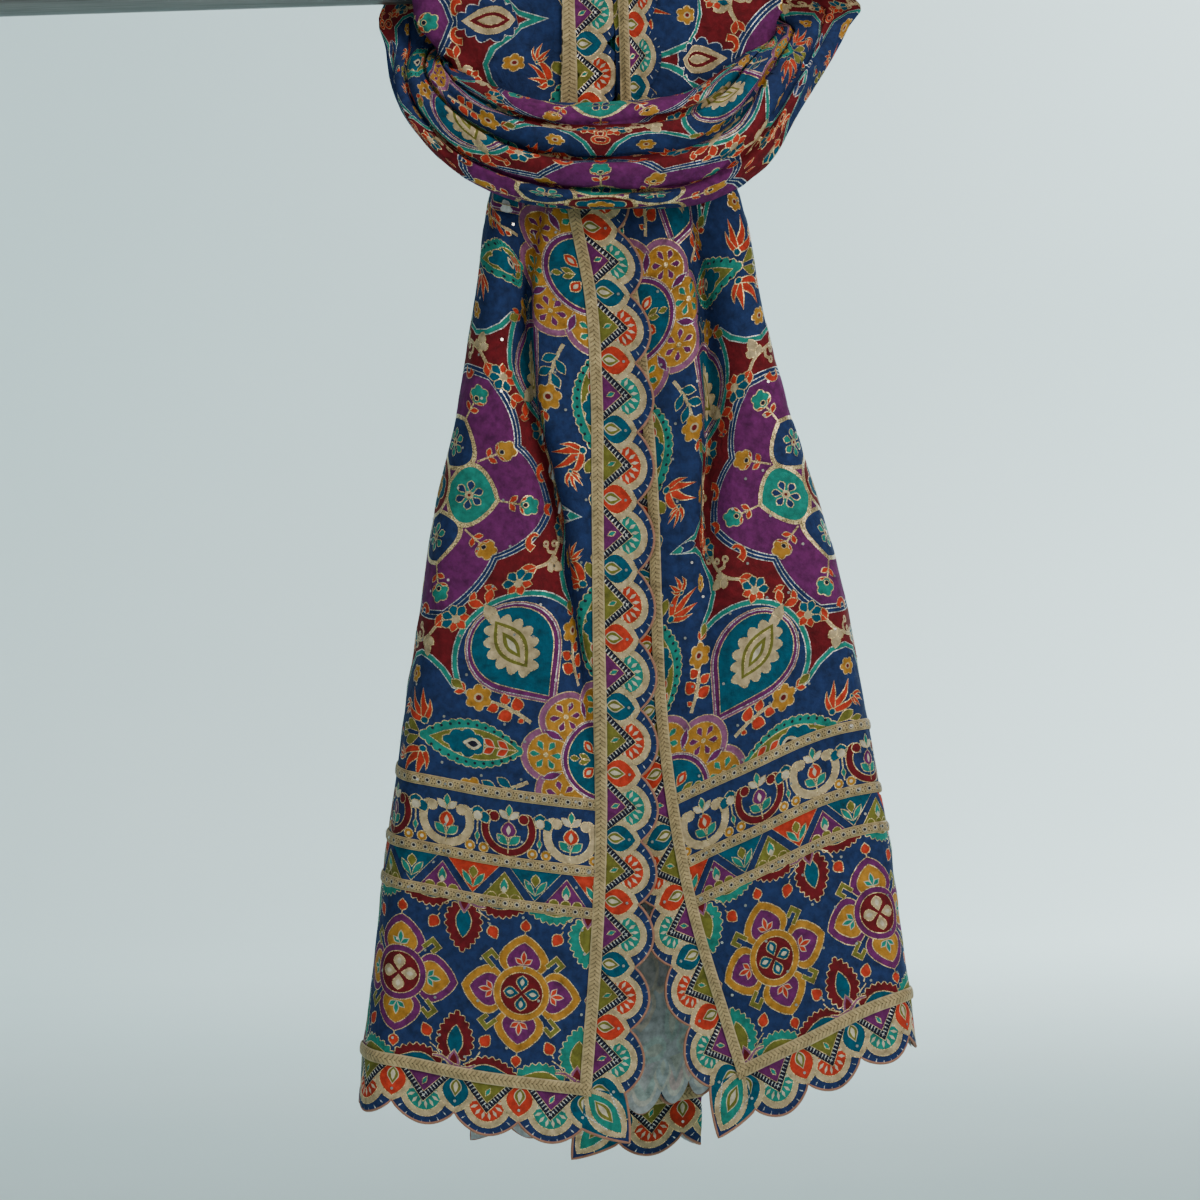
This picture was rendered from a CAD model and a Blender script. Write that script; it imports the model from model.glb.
"""Looks of a dupatta stole that hangs on a rod by a cow hitch."""
import math

import bpy
import numpy as np
import mathutils
from mathutils.geometry import delaunay_2d_cdt
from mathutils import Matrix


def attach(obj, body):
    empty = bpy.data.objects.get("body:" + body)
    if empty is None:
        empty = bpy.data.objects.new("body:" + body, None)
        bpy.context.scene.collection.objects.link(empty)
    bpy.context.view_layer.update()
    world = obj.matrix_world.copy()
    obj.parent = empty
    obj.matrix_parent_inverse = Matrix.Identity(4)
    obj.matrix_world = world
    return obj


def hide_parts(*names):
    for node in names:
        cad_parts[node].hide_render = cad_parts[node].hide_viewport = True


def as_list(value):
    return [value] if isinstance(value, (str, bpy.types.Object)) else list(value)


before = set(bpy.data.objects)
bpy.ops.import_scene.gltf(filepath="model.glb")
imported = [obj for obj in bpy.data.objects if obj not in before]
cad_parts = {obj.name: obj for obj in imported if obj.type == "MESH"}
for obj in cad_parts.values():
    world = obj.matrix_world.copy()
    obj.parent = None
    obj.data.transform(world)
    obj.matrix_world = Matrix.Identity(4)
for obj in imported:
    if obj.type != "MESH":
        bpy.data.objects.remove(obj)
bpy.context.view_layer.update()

# ------------------------------------------------------------------ the rod
# A plain steel tube, brushed along its length, that the stole is looped over.
# Its ends are held by whatever wall or stand it hangs from.


def new_material(name):
    """Material with its principled shader: (material, its tree, the shader)."""
    made = bpy.data.materials.new(name)
    made.use_nodes = True
    return made, made.node_tree, made.node_tree.nodes["Principled BSDF"]


def node(tree, kind, **values):
    """New node of that kind, with values for its inputs, an underscore for each space in their names."""
    made = tree.nodes.new("ShaderNode" + kind)
    for name, value in values.items():
        made.inputs[name.replace("_", " ")].default_value = value
    return made


def mottled(name, dark, light, scale=5, detail=2, stretch=None, metallic=0.0, roughness=0.5):
    """Finish whose colour runs from dark to light with soft noise in the piece's own space.

    stretch draws the noise out along an axis, and a pair for roughness makes it follow the noise too.
    """
    made, tree, shader = new_material(name)
    shader.inputs["Metallic"].default_value = metallic
    where = node(tree, "TexCoord").outputs["Object"]
    noise = node(tree, "TexNoise", Scale=scale, Detail=detail)
    if stretch:
        drawn = node(tree, "Mapping", Scale=stretch)
        tree.links.new(where, drawn.inputs["Vector"])
        where = drawn.outputs["Vector"]
    shades = node(tree, "ValToRGB")
    shades.color_ramp.elements[0].color = (*dark, 1)
    shades.color_ramp.elements[1].color = (*light, 1)
    tree.links.new(where, noise.inputs["Vector"])
    tree.links.new(noise.outputs["Fac"], shades.inputs["Fac"])
    tree.links.new(shades.outputs["Color"], shader.inputs["Base Color"])
    if isinstance(roughness, tuple):
        rough = node(tree, "MapRange", To_Min=roughness[0], To_Max=roughness[1])
        tree.links.new(noise.outputs["Fac"], rough.inputs["Value"])
        tree.links.new(rough.outputs["Result"], shader.inputs["Roughness"])
    else:
        shader.inputs["Roughness"].default_value = roughness
    return made


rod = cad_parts["hanging_rod"]
rod.data.materials.clear()
rod.data.materials.append(mottled("brushed_steel", (0.13, 0.14, 0.14), (0.34, 0.35, 0.34), detail=4,
                                  stretch=(4, 220, 220), metallic=0.9, roughness=(0.24, 0.44)))

# ------------------------------------------------- drape of the two hanging ends
# Each end of the stole is one width of thin cloth, folded back on itself.  The
# same tables as the part's own give the plan of its folds at every height.
CLOTH_WIDTH = 0.92
CLOTH_WALL = 0.0015
BORDER = 0.04
BRAID_WIDTH = 0.01
BRAID_LINE = BORDER + BRAID_WIDTH / 2
SEAM_GAP = 0.0003
FIELD_EDGE = BORDER + SEAM_GAP / 2
TAIL_TOP = -0.15


def table(names, *rows):
    """Rows of numbers under the names of their columns."""
    return [dict(zip(names.split(), row)) for row in rows]


def row_value(table, column, at, key="z"):
    """Value of one named column of a table at a value of its key, smooth between rows."""
    keys = np.array([row[key] for row in table])
    values = np.array([row[column] for row in table])
    order = np.argsort(keys)
    keys = keys[order]
    values = values[order]
    slopes = np.gradient(values, keys)
    at = np.clip(at, keys[0], keys[-1])
    i = np.clip(np.searchsorted(keys, at) - 1, 0, len(keys) - 2)
    step = keys[i + 1] - keys[i]
    t = (at - keys[i]) / step
    return (values[i] * (2 * t**3 - 3 * t**2 + 1) + values[i + 1] * (3 * t**2 - 2 * t**3)
            + step * slopes[i] * (t**3 - 2 * t**2 + t) + step * slopes[i + 1] * (t**3 - t**2))


# Left end of the stole: a row for each height.  edge = x of the selvedge's
# braid, fold = x of the outer fold, turn = x of the hidden back fold,
# end = x of the far selvedge, groove / groove_depth = the long front fold.
LEFT_TAIL = table(
    "z edge fold turn end groove groove_depth",
    (-0.15, -0.04, -0.094, 0.036, -0.05, -0.062, 0.004),
    (-0.19, -0.034, -0.105, 0.042, -0.054, -0.072, 0.012),
    (-0.25, -0.024, -0.116, 0.05, -0.058, -0.082, 0.022),
    (-0.335, -0.021, -0.132, 0.062, -0.064, -0.08, 0.023),
    (-0.415, -0.023, -0.152, 0.074, -0.068, -0.064, 0.022),
    (-0.51, -0.025, -0.17, 0.082, -0.072, -0.051, 0.016),
    (-0.6, -0.026, -0.187, 0.084, -0.076, -0.042, 0.008),
    (-0.69, -0.029, -0.201, 0.078, -0.08, -0.036, 0.002),
    (-0.78, -0.036, -0.213, 0.064, -0.083, -0.036, 0.0),
    (-0.87, -0.046, -0.226, 0.05, -0.086, -0.046, 0.0),
    (-0.97, -0.056, -0.234, 0.044, -0.087, -0.056, 0.0))
RIGHT_TAIL = table(
    "z edge fold end groove groove_depth",
    (-0.15, 0.0, 0.09, -0.062, 0.05, 0.003), (-0.19, 0.0, 0.101, -0.07, 0.06, 0.01),
    (-0.255, 0.01, 0.111, -0.084, 0.072, 0.02), (-0.34, 0.018, 0.13, -0.098, 0.075, 0.024),
    (-0.42, 0.021, 0.152, -0.112, 0.068, 0.02), (-0.5, 0.021, 0.172, -0.124, 0.062, 0.009),
    (-0.58, 0.022, 0.184, -0.134, 0.06, 0.002), (-0.66, 0.029, 0.196, -0.143, 0.06, 0.0),
    (-0.74, 0.042, 0.205, -0.151, 0.07, 0.0), (-0.82, 0.063, 0.213, -0.157, 0.08, 0.0),
    (-0.89, 0.083, 0.218, -0.161, 0.09, 0.0), (-0.97, 0.106, 0.221, -0.164, 0.1, 0.0))
# Depth of each layer of the two ends, front to back, and of the gathers.
LAYERS = table(
    "z left_front right_front right_back left_end left_back gather swell",
    (-0.15, -0.041, -0.033, -0.005, 0.006, 0.015, 0.002, 0.0),
    (-0.19, -0.045, -0.0365, -0.006, 0.01, 0.021, 0.004, 0.001),
    (-0.26, -0.052, -0.042, 0.002, 0.02, 0.032, 0.007, 0.003),
    (-0.4, -0.058, -0.047, 0.01, 0.029, 0.042, 0.0085, 0.005),
    (-0.65, -0.06, -0.049, 0.014, 0.034, 0.047, 0.0085, 0.006),
    (-0.97, -0.06, -0.049, 0.016, 0.036, 0.049, 0.0085, 0.006))
# Height at which the near selvedge passes each length up from the scallop tips.
LEFT_DROP = table(
    "length drop",
    (-0.02, -0.95), (0.0, -0.93), (0.295, -0.645), (0.7, -0.222), (0.78, -0.142), (0.88, -0.042))
RIGHT_DROP = table(
    "length drop",
    (-0.02, -0.951), (0.0, -0.931), (0.295, -0.655), (0.7, -0.257), (0.82, -0.141), (0.88, -0.083))
# How far a woven row stands above its height at the near selvedge, across the cloth.
LEFT_RISE = table(
    "across rise",
    (0.0, 0.0), (0.12, 0.018), (0.24, 0.04), (0.42, 0.026), (0.6, 0.01), (0.78, -0.004),
    (0.92, -0.022))
RIGHT_RISE = table(
    "across rise",
    (0.0, 0.0), (0.1, 0.038), (0.205, 0.072), (0.3, 0.068), (0.52, 0.046), (0.75, 0.018),
    (0.92, 0.0))
FRONT_SPAN = 0.26           # this much of the width lies flat from the near selvedge
END_SPAN = 0.14             # and this much from the far one
ROW_SLOPE = dict(left=0.985, right=0.925)   # cosine of the slope of the woven rows
GATHERS = 5                 # gathers across each back layer
GROOVE_WIDTH = 0.0095
GROOVE_RUN_OUT = 0.015      # the front fold is gone this near to the outer fold
FRONT_POINTS = 170          # points of a section's front run, folds and back run
FOLD_POINTS = 50
BACK_POINTS = 160
TURN_POINTS = 24
LEFT_ROUNDNESS = 0.45       # reach of an outer fold over half of its depth
RIGHT_ROUNDNESS = 0.7
LEFT_LEAN = 0.45            # sideways lean of the front fold over its depth
RIGHT_LEAN = -0.35
FLAT_END_SHARE = 1 / 6      # the gathers run out over this share, at the far selvedge
NEAR_SHARE = 0.62           # most of a section's length that the near span takes
FAR_SHARE = 0.8             # the far span starts past this share of it
LEVELS = np.linspace(-0.985, -0.118, 90)
SECTION_POINTS = 420
LENGTH_STEPS = 400
PAST_EDGE = 0.02            # the surface is carried on this far past both selvedges
NORMAL_STEP = 0.004         # reach of the differences that give the surface's normal


def half_round(x_centre, y_from, y_to, reach, side, count):
    """Points of a fold: half an ellipse from y_from to y_to, bulging to side."""
    angle = np.linspace(0.0, math.pi, count)
    y = (y_from + y_to) / 2 - (y_to - y_from) / 2 * np.cos(angle)
    return x_centre + side * reach * np.sin(angle), y


def groove_offset(x, place, depth, lean):
    """A long soft trough in the front layer that leans under its near lip."""
    fade = np.clip(np.abs(x - x[-1]) / GROOVE_RUN_OUT, 0, 1)
    trough = np.exp(-(((x - place) / GROOVE_WIDTH) ** 2)) * fade
    return lean * depth * trough, depth * trough


def left_section(z):
    """Plan of the left end at height z, from its near to its far selvedge."""
    edge, fold, turn, end = (row_value(LEFT_TAIL, name, z) for name in ("edge", "fold", "turn", "end"))
    layer = {name: row_value(LAYERS, name, z) for name in LAYERS[0]}
    start = edge + (BRAID_LINE + PAST_EDGE) * ROW_SLOPE["left"]
    reach = LEFT_ROUNDNESS * (layer["left_back"] - layer["left_front"]) / 2
    x_front = np.linspace(start, fold + reach, FRONT_POINTS)
    along = np.clip((edge - x_front) / (edge - fold - reach), 0, 1)
    y_front = layer["left_front"] - layer["swell"] * np.sin(math.pi * along)
    lean, sink = groove_offset(x_front, row_value(LEFT_TAIL, "groove", z),
                               row_value(LEFT_TAIL, "groove_depth", z), LEFT_LEAN)
    x_fold, y_fold = half_round(fold + reach, layer["left_front"], layer["left_back"], reach, -1,
                                FOLD_POINTS)
    turn_reach = (layer["left_back"] - layer["left_end"]) / 2
    x_back = np.linspace(fold + reach, turn - turn_reach, BACK_POINTS)
    wave = np.linspace(0, 1, BACK_POINTS)
    y_back = layer["left_back"] + layer["gather"] * (1 - np.cos(2 * math.pi * GATHERS * wave))
    x_turn, y_turn = half_round(turn - turn_reach, layer["left_back"], layer["left_end"], turn_reach, 1,
                                TURN_POINTS)
    x_end = np.linspace(turn - turn_reach, end, TURN_POINTS)
    y_end = np.full(TURN_POINTS, layer["left_end"])
    return (np.concatenate([x_front + lean, x_fold[1:], x_back[1:], x_turn[1:], x_end[1:]]),
            np.concatenate([y_front + sink, y_fold[1:], y_back[1:], y_turn[1:], y_end[1:]]))


def right_section(z):
    """Plan of the right end at height z, from its near to its far selvedge."""
    edge, fold, end = (row_value(RIGHT_TAIL, name, z) for name in ("edge", "fold", "end"))
    layer = {name: row_value(LAYERS, name, z) for name in LAYERS[0]}
    start = edge - (BRAID_LINE + PAST_EDGE) * ROW_SLOPE["right"]
    reach = RIGHT_ROUNDNESS * (layer["right_back"] - layer["right_front"]) / 2
    x_front = np.linspace(start, fold - reach, FRONT_POINTS)
    along = np.clip((x_front - edge) / (fold - reach - edge), 0, 1)
    y_front = layer["right_front"] - layer["swell"] * np.sin(math.pi * along)
    lean, sink = groove_offset(x_front, row_value(RIGHT_TAIL, "groove", z),
                               row_value(RIGHT_TAIL, "groove_depth", z), RIGHT_LEAN)
    x_fold, y_fold = half_round(fold - reach, layer["right_front"], layer["right_back"], reach, 1,
                                FOLD_POINTS)
    x_back = np.linspace(fold - reach, end, BACK_POINTS)
    wave = np.linspace(0, 1, BACK_POINTS)
    ease = np.clip((1 - wave) / FLAT_END_SHARE, 0, 1)
    y_back = layer["right_back"] + layer["gather"] * np.sin(2 * math.pi * GATHERS * wave) * ease
    return (np.concatenate([x_front + lean, x_fold[1:], x_back[1:]]),
            np.concatenate([y_front + sink, y_fold[1:], y_back[1:]]))


def width_table(section, slope):
    """Plan position of every thread of the warp at every level.

    The near and far spans keep their true width; the hidden cloth between
    them shares what is left of the section's length.
    """
    threads = np.linspace(-PAST_EDGE, CLOTH_WIDTH + PAST_EDGE, SECTION_POINTS)
    xs, ys = [], []
    for z in LEVELS:
        x, y = section(z)
        arc = np.concatenate([[0.0], np.cumsum(np.hypot(np.diff(x), np.diff(y)))])
        near = (FRONT_SPAN + PAST_EDGE) * slope
        far = arc[-1] - (END_SPAN + PAST_EDGE) * slope
        knots_u = [-PAST_EDGE, FRONT_SPAN, CLOTH_WIDTH - END_SPAN, CLOTH_WIDTH + PAST_EDGE]
        knots_s = [0.0, min(near, NEAR_SHARE * arc[-1]), max(far, FAR_SHARE * arc[-1]), arc[-1]]
        along = np.interp(threads, knots_u, knots_s)
        xs.append(np.interp(along, arc, x))
        ys.append(np.interp(along, arc, y))
    return np.stack([xs, ys], axis=-1)


def unit(vectors):
    """Each vector at length one."""
    return vectors / (np.linalg.norm(vectors, axis=-1, keepdims=True) + 1e-12)


def between(grid, i, j):
    """Values of a grid of numbers between its points, at row i and column j."""
    i0, j0 = np.minimum(i.astype(int), len(grid) - 2), np.minimum(j.astype(int), grid.shape[1] - 2)
    fi, fj = (i - i0)[..., None], (j - j0)[..., None]
    return (grid[i0, j0] * (1 - fi) * (1 - fj) + grid[i0 + 1, j0] * fi * (1 - fj)
            + grid[i0, j0 + 1] * (1 - fi) * fj + grid[i0 + 1, j0 + 1] * fi * fj)


class End:
    """One hanging end: maps (u, v) on the flat cloth to its place.

    u runs across from the near selvedge, v up from the scallop tips.  The
    plan of the folds gives x and y, the table of lengths gives z, and soft
    creases push the result in and out along the surface's normal.
    """

    def __init__(self, section, side, slope, drop, rise, pleat, print_rows):
        """Works out the plan's table once, and keeps the other tables."""
        self.plan = width_table(section, slope)
        self.side, self.drop, self.rise, self.pleat, self.print_rows = side, drop, rise, pleat, print_rows

    def length_at(self, u, z):
        """The length up the cloth at which thread u passes height z."""
        v = np.linspace(self.drop[0]["length"], self.drop[-1]["length"], LENGTH_STEPS)
        heights = row_value(self.drop, "drop", v, key="length")
        return np.interp(z - row_value(self.rise, "rise", np.ravel(u), key="across"), heights,
                         v).reshape(np.shape(u))

    def bare(self, u, v):
        """Place on the smooth form, between the tables' rows and columns."""
        z = row_value(self.drop, "drop", v, key="length") + row_value(self.rise, "rise", u, key="across")
        i = np.clip((z - LEVELS[0]) / (LEVELS[1] - LEVELS[0]), 0, len(LEVELS) - 1.001)
        share = (u + PAST_EDGE) / (CLOTH_WIDTH + 2 * PAST_EDGE)
        j = np.clip(share * (SECTION_POINTS - 1), 0, SECTION_POINTS - 1.001)
        return np.concatenate([between(self.plan, i, j), z[..., None]], axis=-1)

    def tucked(self, u, v):
        """Where the print's thread u lies: the long front fold hides some, the back takes it up again."""
        thread, hidden = (row_value(self.pleat, name, v, key="length") for name in ("thread", "hidden"))
        into = np.clip((u - thread + PLEAT_HALF) / (2 * PLEAT_HALF + hidden), 0, 1)
        return u - hidden * (into - np.clip((u - FOLDED_FROM) / 0.35, 0, 1))

    def crease(self, u, v):
        """Depth of the soft creases: a few slanting waves that come and go along the cloth."""
        phase = 2.1 if self.side > 0 else 0.4
        folds = 0.0
        for reach, across, slant, depth in CREASES:
            come = 0.5 + 0.5 * np.sin(v / reach * 2 + u * 11 + phase + across)
            folds = folds + depth * come**2 * np.sin(across * u + slant * v + phase * across)
        return folds

    def place(self, u, v, lift=0.0):
        """Point on the creased cloth, lift above the middle of its wall."""
        u, v = np.asarray(u, float), np.asarray(v, float)
        across = self.bare(u + NORMAL_STEP, v) - self.bare(u - NORMAL_STEP, v)
        up = self.bare(u, v + NORMAL_STEP) - self.bare(u, v - NORMAL_STEP)
        out = unit(self.side * np.cross(across, up))
        return self.bare(u, v) + out * (self.crease(u, v) + lift)[..., None]


PLEAT_HALF = 0.006             # half of the width over which the front fold hides cloth
FOLDED_FROM = 0.45             # from here on across its width the cloth is folded away
# Soft creases: how far each comes and goes, its waves across and up the cloth, its depth.
CREASES = ((0.11, 62, 9, 0.0013), (0.07, 41, -13, 0.001), (0.16, 93, 5, 0.0007),
           (0.05, 140, 70, 0.0004), (0.04, 95, -120, 0.0004), (0.06, 30, 150, 0.0004))
# How much of the cloth's width the long front fold hides at each length, and from
# which thread; then rows of the print and the lengths at which they come to lie.
LEFT_PLEAT = table(
    "length thread hidden",
    (0.34, 0.058, 0.0), (0.41, 0.07, 0.01), (0.48, 0.084, 0.03), (0.55, 0.103, 0.036),
    (0.62, 0.115, 0.036), (0.92, 0.115, 0.034))
RIGHT_PLEAT = table(
    "length thread hidden",
    (0.34, 0.06, 0.0), (0.42, 0.084, 0.01), (0.49, 0.095, 0.028), (0.56, 0.11, 0.032),
    (0.64, 0.119, 0.034), (0.92, 0.119, 0.034))
LEFT_PRINT = ((0.095, 0.295, 0.695, 1.095), (0.129, 0.312, 0.678, 1.07))
RIGHT_PRINT = ((0.095, 0.295, 0.695, 1.095), (0.09, 0.281, 0.663, 1.06))
left_end = End(left_section, -1, ROW_SLOPE["left"], LEFT_DROP, LEFT_RISE, LEFT_PLEAT, LEFT_PRINT)
right_end = End(right_section, 1, ROW_SLOPE["right"], RIGHT_DROP, RIGHT_RISE, RIGHT_PLEAT, RIGHT_PRINT)

# ------------------------------------------------- printed field of the ends
# Thin cloth printed all over and stitched round every motif with gold thread.
# It hangs from the rod and is sewn to the border under the edge braids.
THREAD = 0.00036               # half of the width of a row of stitches
WELD = 2e5                     # points of a flat mesh closer than 1 / WELD metres are one
SLIVER = 2e-11                 # triangles under half of this many square metres are left out
SCALLOP_PITCH, SCALLOP_DEPTH = 0.0517, 0.014
TAPE_HEIGHTS, TAPE_WIDTH = (0.277, 0.223, 0.189), 0.009


def thread_out(outline, width):
    """The outline moved outwards by width: each point along the mean of its edges' normals."""
    out = []
    for way in (outline - np.roll(outline, 1, axis=0), np.roll(outline, -1, axis=0) - outline):
        way = unit(way)
        out.append(np.stack([way[:, 1], -way[:, 0]], axis=1))
    mean = out[0] + out[1]
    mean /= np.maximum(np.linalg.norm(mean, axis=1, keepdims=True), 0.6)
    return outline + mean * width


def thinned(outline, slack):
    """The outline without the points that lie within slack of the line between their neighbours."""
    for odd in (0, 1, 0, 1):
        way = np.roll(outline, -1, axis=0) - np.roll(outline, 1, axis=0)
        back = outline - np.roll(outline, 1, axis=0)
        off = np.abs(way[:, 0] * back[:, 1] - way[:, 1] * back[:, 0])
        off = off / (np.linalg.norm(way, axis=1) + 1e-12)
        kept = (off > slack) | (np.arange(len(outline)) % 2 == odd)
        if kept.sum() >= 4:
            outline = outline[kept]
    return outline


def dyed_patch(shapes, wide, high, step, edge=None, slack=0.0003):
    """Flat mesh of a printed rectangle, or of what lies in edge: (points, triangles, dyes).

    A constrained Delaunay triangulation of all the outlines and of a grid of points
    gives the triangles, and each takes the dye of the last shape that it lies in.
    """
    edge = np.array([(0, 0), (wide, 0), (wide, high), (0, high)]) if edge is None else edge
    outlines, dyes = [edge], [DYES[shapes[0]] + (0.0,)]
    for outline, dye, thread in shapes[1:]:
        low, top = outline.min(axis=0) - 0.002, outline.max(axis=0) + 0.002
        if low[0] > wide or low[1] > high or top[0] < 0 or top[1] < 0:
            continue
        outline = thinned(outline, slack)
        if thread:
            outlines.append(thread_out(outline, THREAD))
            dyes.append(DYES[thread] + (float(thread in ("gold", "silver")),))
            outline = thread_out(outline, -THREAD)
        outlines.append(outline)
        dyes.append(DYES[dye] + (float(dye in ("gold", "silver")),))
    grid = np.stack(np.meshgrid(np.linspace(0, wide, int(round(wide / step)) + 1),
                                np.linspace(0, high, int(round(high / step)) + 1)), axis=-1).reshape(-1, 2)
    first = np.concatenate([[0], np.cumsum([len(outline) for outline in outlines])])
    rings = [list(range(a, b)) for a, b in zip(first[:-1], first[1:])]
    points = [tuple(p) for p in np.concatenate(outlines + [grid])]
    flat, _, made, _, _, sources = delaunay_2d_cdt(points, [], rings, 0, 1e-6, True)
    kept = [(face, max(source)) for face, source in zip(made, sources) if 0 in source]
    return (np.array([tuple(p) for p in flat]), np.array([face for face, _ in kept]),
            np.array(dyes)[[top for _, top in kept]])


def tiled(cell, wide, high, start, u_range, v_range, mirrored=True, far_cell=None):
    """Copies of the cells, the next of them in each row, clamped to the ranges of u and v.

    Where the cloth is folded away, far_cell takes their place.
    """
    points, triangles, colours, count = [], [], [], 0
    for i in range(math.floor((u_range[0] - start[0]) / wide), math.ceil((u_range[1] - start[0]) / wide)):
        for j in range(math.floor((v_range[0] - start[1]) / high),
                       math.ceil((v_range[1] - start[1]) / high)):
            row = far_cell if far_cell and start[0] + i * wide > FOLDED_FROM else cell
            flat, faces, dyes = row[j % len(row)]
            x = wide - flat[:, 0] if mirrored and i % 2 else flat[:, 0]
            y = high - flat[:, 1] if mirrored and j % 2 else flat[:, 1]
            points.append(np.stack([np.clip(start[0] + i * wide + x, *u_range),
                                    np.clip(start[1] + j * high + y, *v_range)], axis=1))
            triangles.append(faces + count)
            colours.append(dyes)
            count += len(flat)
    return np.concatenate(points), np.concatenate(triangles), np.concatenate(colours)


def joined(patches):
    """Several flat meshes as one."""
    first = np.concatenate([[0], np.cumsum([len(flat) for flat, _, _ in patches])[:-1]])
    return (np.concatenate([flat for flat, _, _ in patches]),
            np.concatenate([faces + start for start, (_, faces, _) in zip(first, patches)]),
            np.concatenate([dyes for _, _, dyes in patches]))


def shown(mesh, finish):
    """Object of the mesh, with its finish, in the scene."""
    mesh.materials.append(finish)
    made = bpy.data.objects.new(mesh.name, mesh)
    bpy.context.scene.collection.objects.link(made)
    return made


def dyed_mesh(name, points, faces, dyes, flat, finish):
    """Smooth mesh with one dye for each face, and flat as its UV map for the bake."""
    sides = faces.shape[1]
    mesh = bpy.data.meshes.new(name)
    mesh.vertices.add(len(points))
    mesh.vertices.foreach_set("co", points.astype(np.float32).ravel())
    mesh.loops.add(faces.size)
    mesh.loops.foreach_set("vertex_index", faces.astype(np.int32).ravel())
    mesh.polygons.add(len(faces))
    mesh.polygons.foreach_set("loop_start", np.arange(len(faces), dtype=np.int32) * sides)
    mesh.polygons.foreach_set("use_smooth", np.ones(len(faces), bool))
    mesh.update(calc_edges=True)
    colours = np.repeat(dyes, sides, axis=0).astype(np.float32)
    mesh.attributes.new("dye", "FLOAT_COLOR", "CORNER").data.foreach_set("color", colours.ravel())
    mesh.uv_layers.new(name="OFBake").data.foreach_set("uv", flat.astype(np.float32).ravel())
    return shown(mesh, finish)


def cloth_piece(name, patch, place, finish, side=1):
    """Mesh object of a flat patch that place carries to its form, its faces outwards."""
    flat, faces, dyes = patch
    grains = np.round(flat * WELD).astype(np.int64)
    _, first, same = np.unique(grains, axis=0, return_index=True, return_inverse=True)
    flat, faces = flat[first], same.reshape(-1)[faces]
    corners = flat[faces]
    one, two = corners[:, 1] - corners[:, 0], corners[:, 2] - corners[:, 0]
    area = one[:, 0] * two[:, 1] - one[:, 1] * two[:, 0]
    fine = np.abs(area) > SLIVER
    faces, dyes, area = faces[fine], dyes[fine], area[fine]
    faces = np.where((area * side > 0)[:, None], faces, faces[:, ::-1])
    used, faces = np.unique(faces, return_inverse=True)
    flat, faces = flat[used], faces.reshape(-1, 3)
    spread = (flat - flat.min(axis=0)) / np.ptp(flat, axis=0).max()
    return dyed_mesh(name, place(flat[:, 0], flat[:, 1]), faces, dyes, spread[faces], finish)


# Dyes of the printed cloth.  The pattern is laid out on the flat cloth, in metres,
# as closed outlines over each other: (outline, dye, thread that is stitched round it).
DYES = {
    "navy": (0.011, 0.027, 0.098), "ink": (0.009, 0.009, 0.026), "wine": (0.135, 0.005, 0.01),
    "purple": (0.125, 0.013, 0.1), "mauve": (0.24, 0.08, 0.17), "jade": (0.008, 0.205, 0.16),
    "teal": (0.003, 0.075, 0.125), "olive": (0.15, 0.145, 0.022), "mustard": (0.4, 0.18, 0.02),
    "orange": (0.46, 0.034, 0.014), "beige": (0.46, 0.35, 0.2), "pale": (0.54, 0.47, 0.34),
    "gold": (0.5, 0.37, 0.18), "silver": (0.42, 0.42, 0.39), "piping": (0.36, 0.17, 0.11),
    "wrong": (0.7, 0.71, 0.68), "braid": (0.52, 0.4, 0.22), "olive_gold": (0.27, 0.2, 0.1),
    "bronze": (0.11, 0.075, 0.035),
}


def circle(x, y, radius, points=16):
    """Circle of that radius round (x, y)."""
    angle = np.linspace(0, 2 * math.pi, points, endpoint=False)
    return np.stack([x + radius * np.cos(angle), y + radius * np.sin(angle)], axis=1)


def flower(x, y, radius, petals, cut, turn=0.0, points=7):
    """Round petals: the radius falls by its share cut between each two petals."""
    angle = np.linspace(0, 2 * math.pi, petals * points, endpoint=False)
    reach = radius * (1 - cut + cut * np.abs(np.cos(petals * angle / 2)) ** 0.7)
    return np.stack([x + reach * np.cos(angle + turn), y + reach * np.sin(angle + turn)], axis=1)


def leaf(length, width, belly=0.5, start=0.0, points=8, power=1.0):
    """Leaf along +x from start: half its width is a sine, widest at belly of its length."""
    t = np.linspace(0, 1, points + 1)
    half = width / 2 * np.sin(math.pi * t ** (math.log(0.5) / math.log(belly))) ** power
    x = start + length * t
    return np.concatenate([np.stack([x, -half], axis=1), np.stack([x, half], axis=1)[-2:0:-1]])


def teardrop(length, radius, start=0.0, points=22):
    """Drop along +x: the two straight tangents from its point to a circle at its far end."""
    reach = math.pi / 2 + math.asin(radius / (length - radius))
    angle = np.linspace(-reach, reach, points)
    x = start + length - radius + radius * np.cos(angle)
    return np.concatenate([[(start, 0.0)], np.stack([x, radius * np.sin(angle)], axis=1)])


def scalloped(outline, bumps, depth):
    """The outline with bumps: each point moves outwards by depth times a rectified sine."""
    closed = np.concatenate([outline, outline[:1]])
    reach = np.concatenate([[0], np.cumsum(np.linalg.norm(np.diff(closed, axis=0), axis=1))])
    at = np.linspace(0, reach[-1], bumps * 5, endpoint=False)
    points = np.stack([np.interp(at, reach, closed[:, k]) for k in (0, 1)], axis=1)
    away = np.roll(points, -1, axis=0) - np.roll(points, 1, axis=0)
    length = np.linalg.norm(away, axis=1, keepdims=True) + 1e-9
    away = np.stack([away[:, 1], -away[:, 0]], axis=1) / length
    return points + away * depth * np.abs(np.sin(math.pi * np.arange(len(at)) / 5))[:, None]


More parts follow.
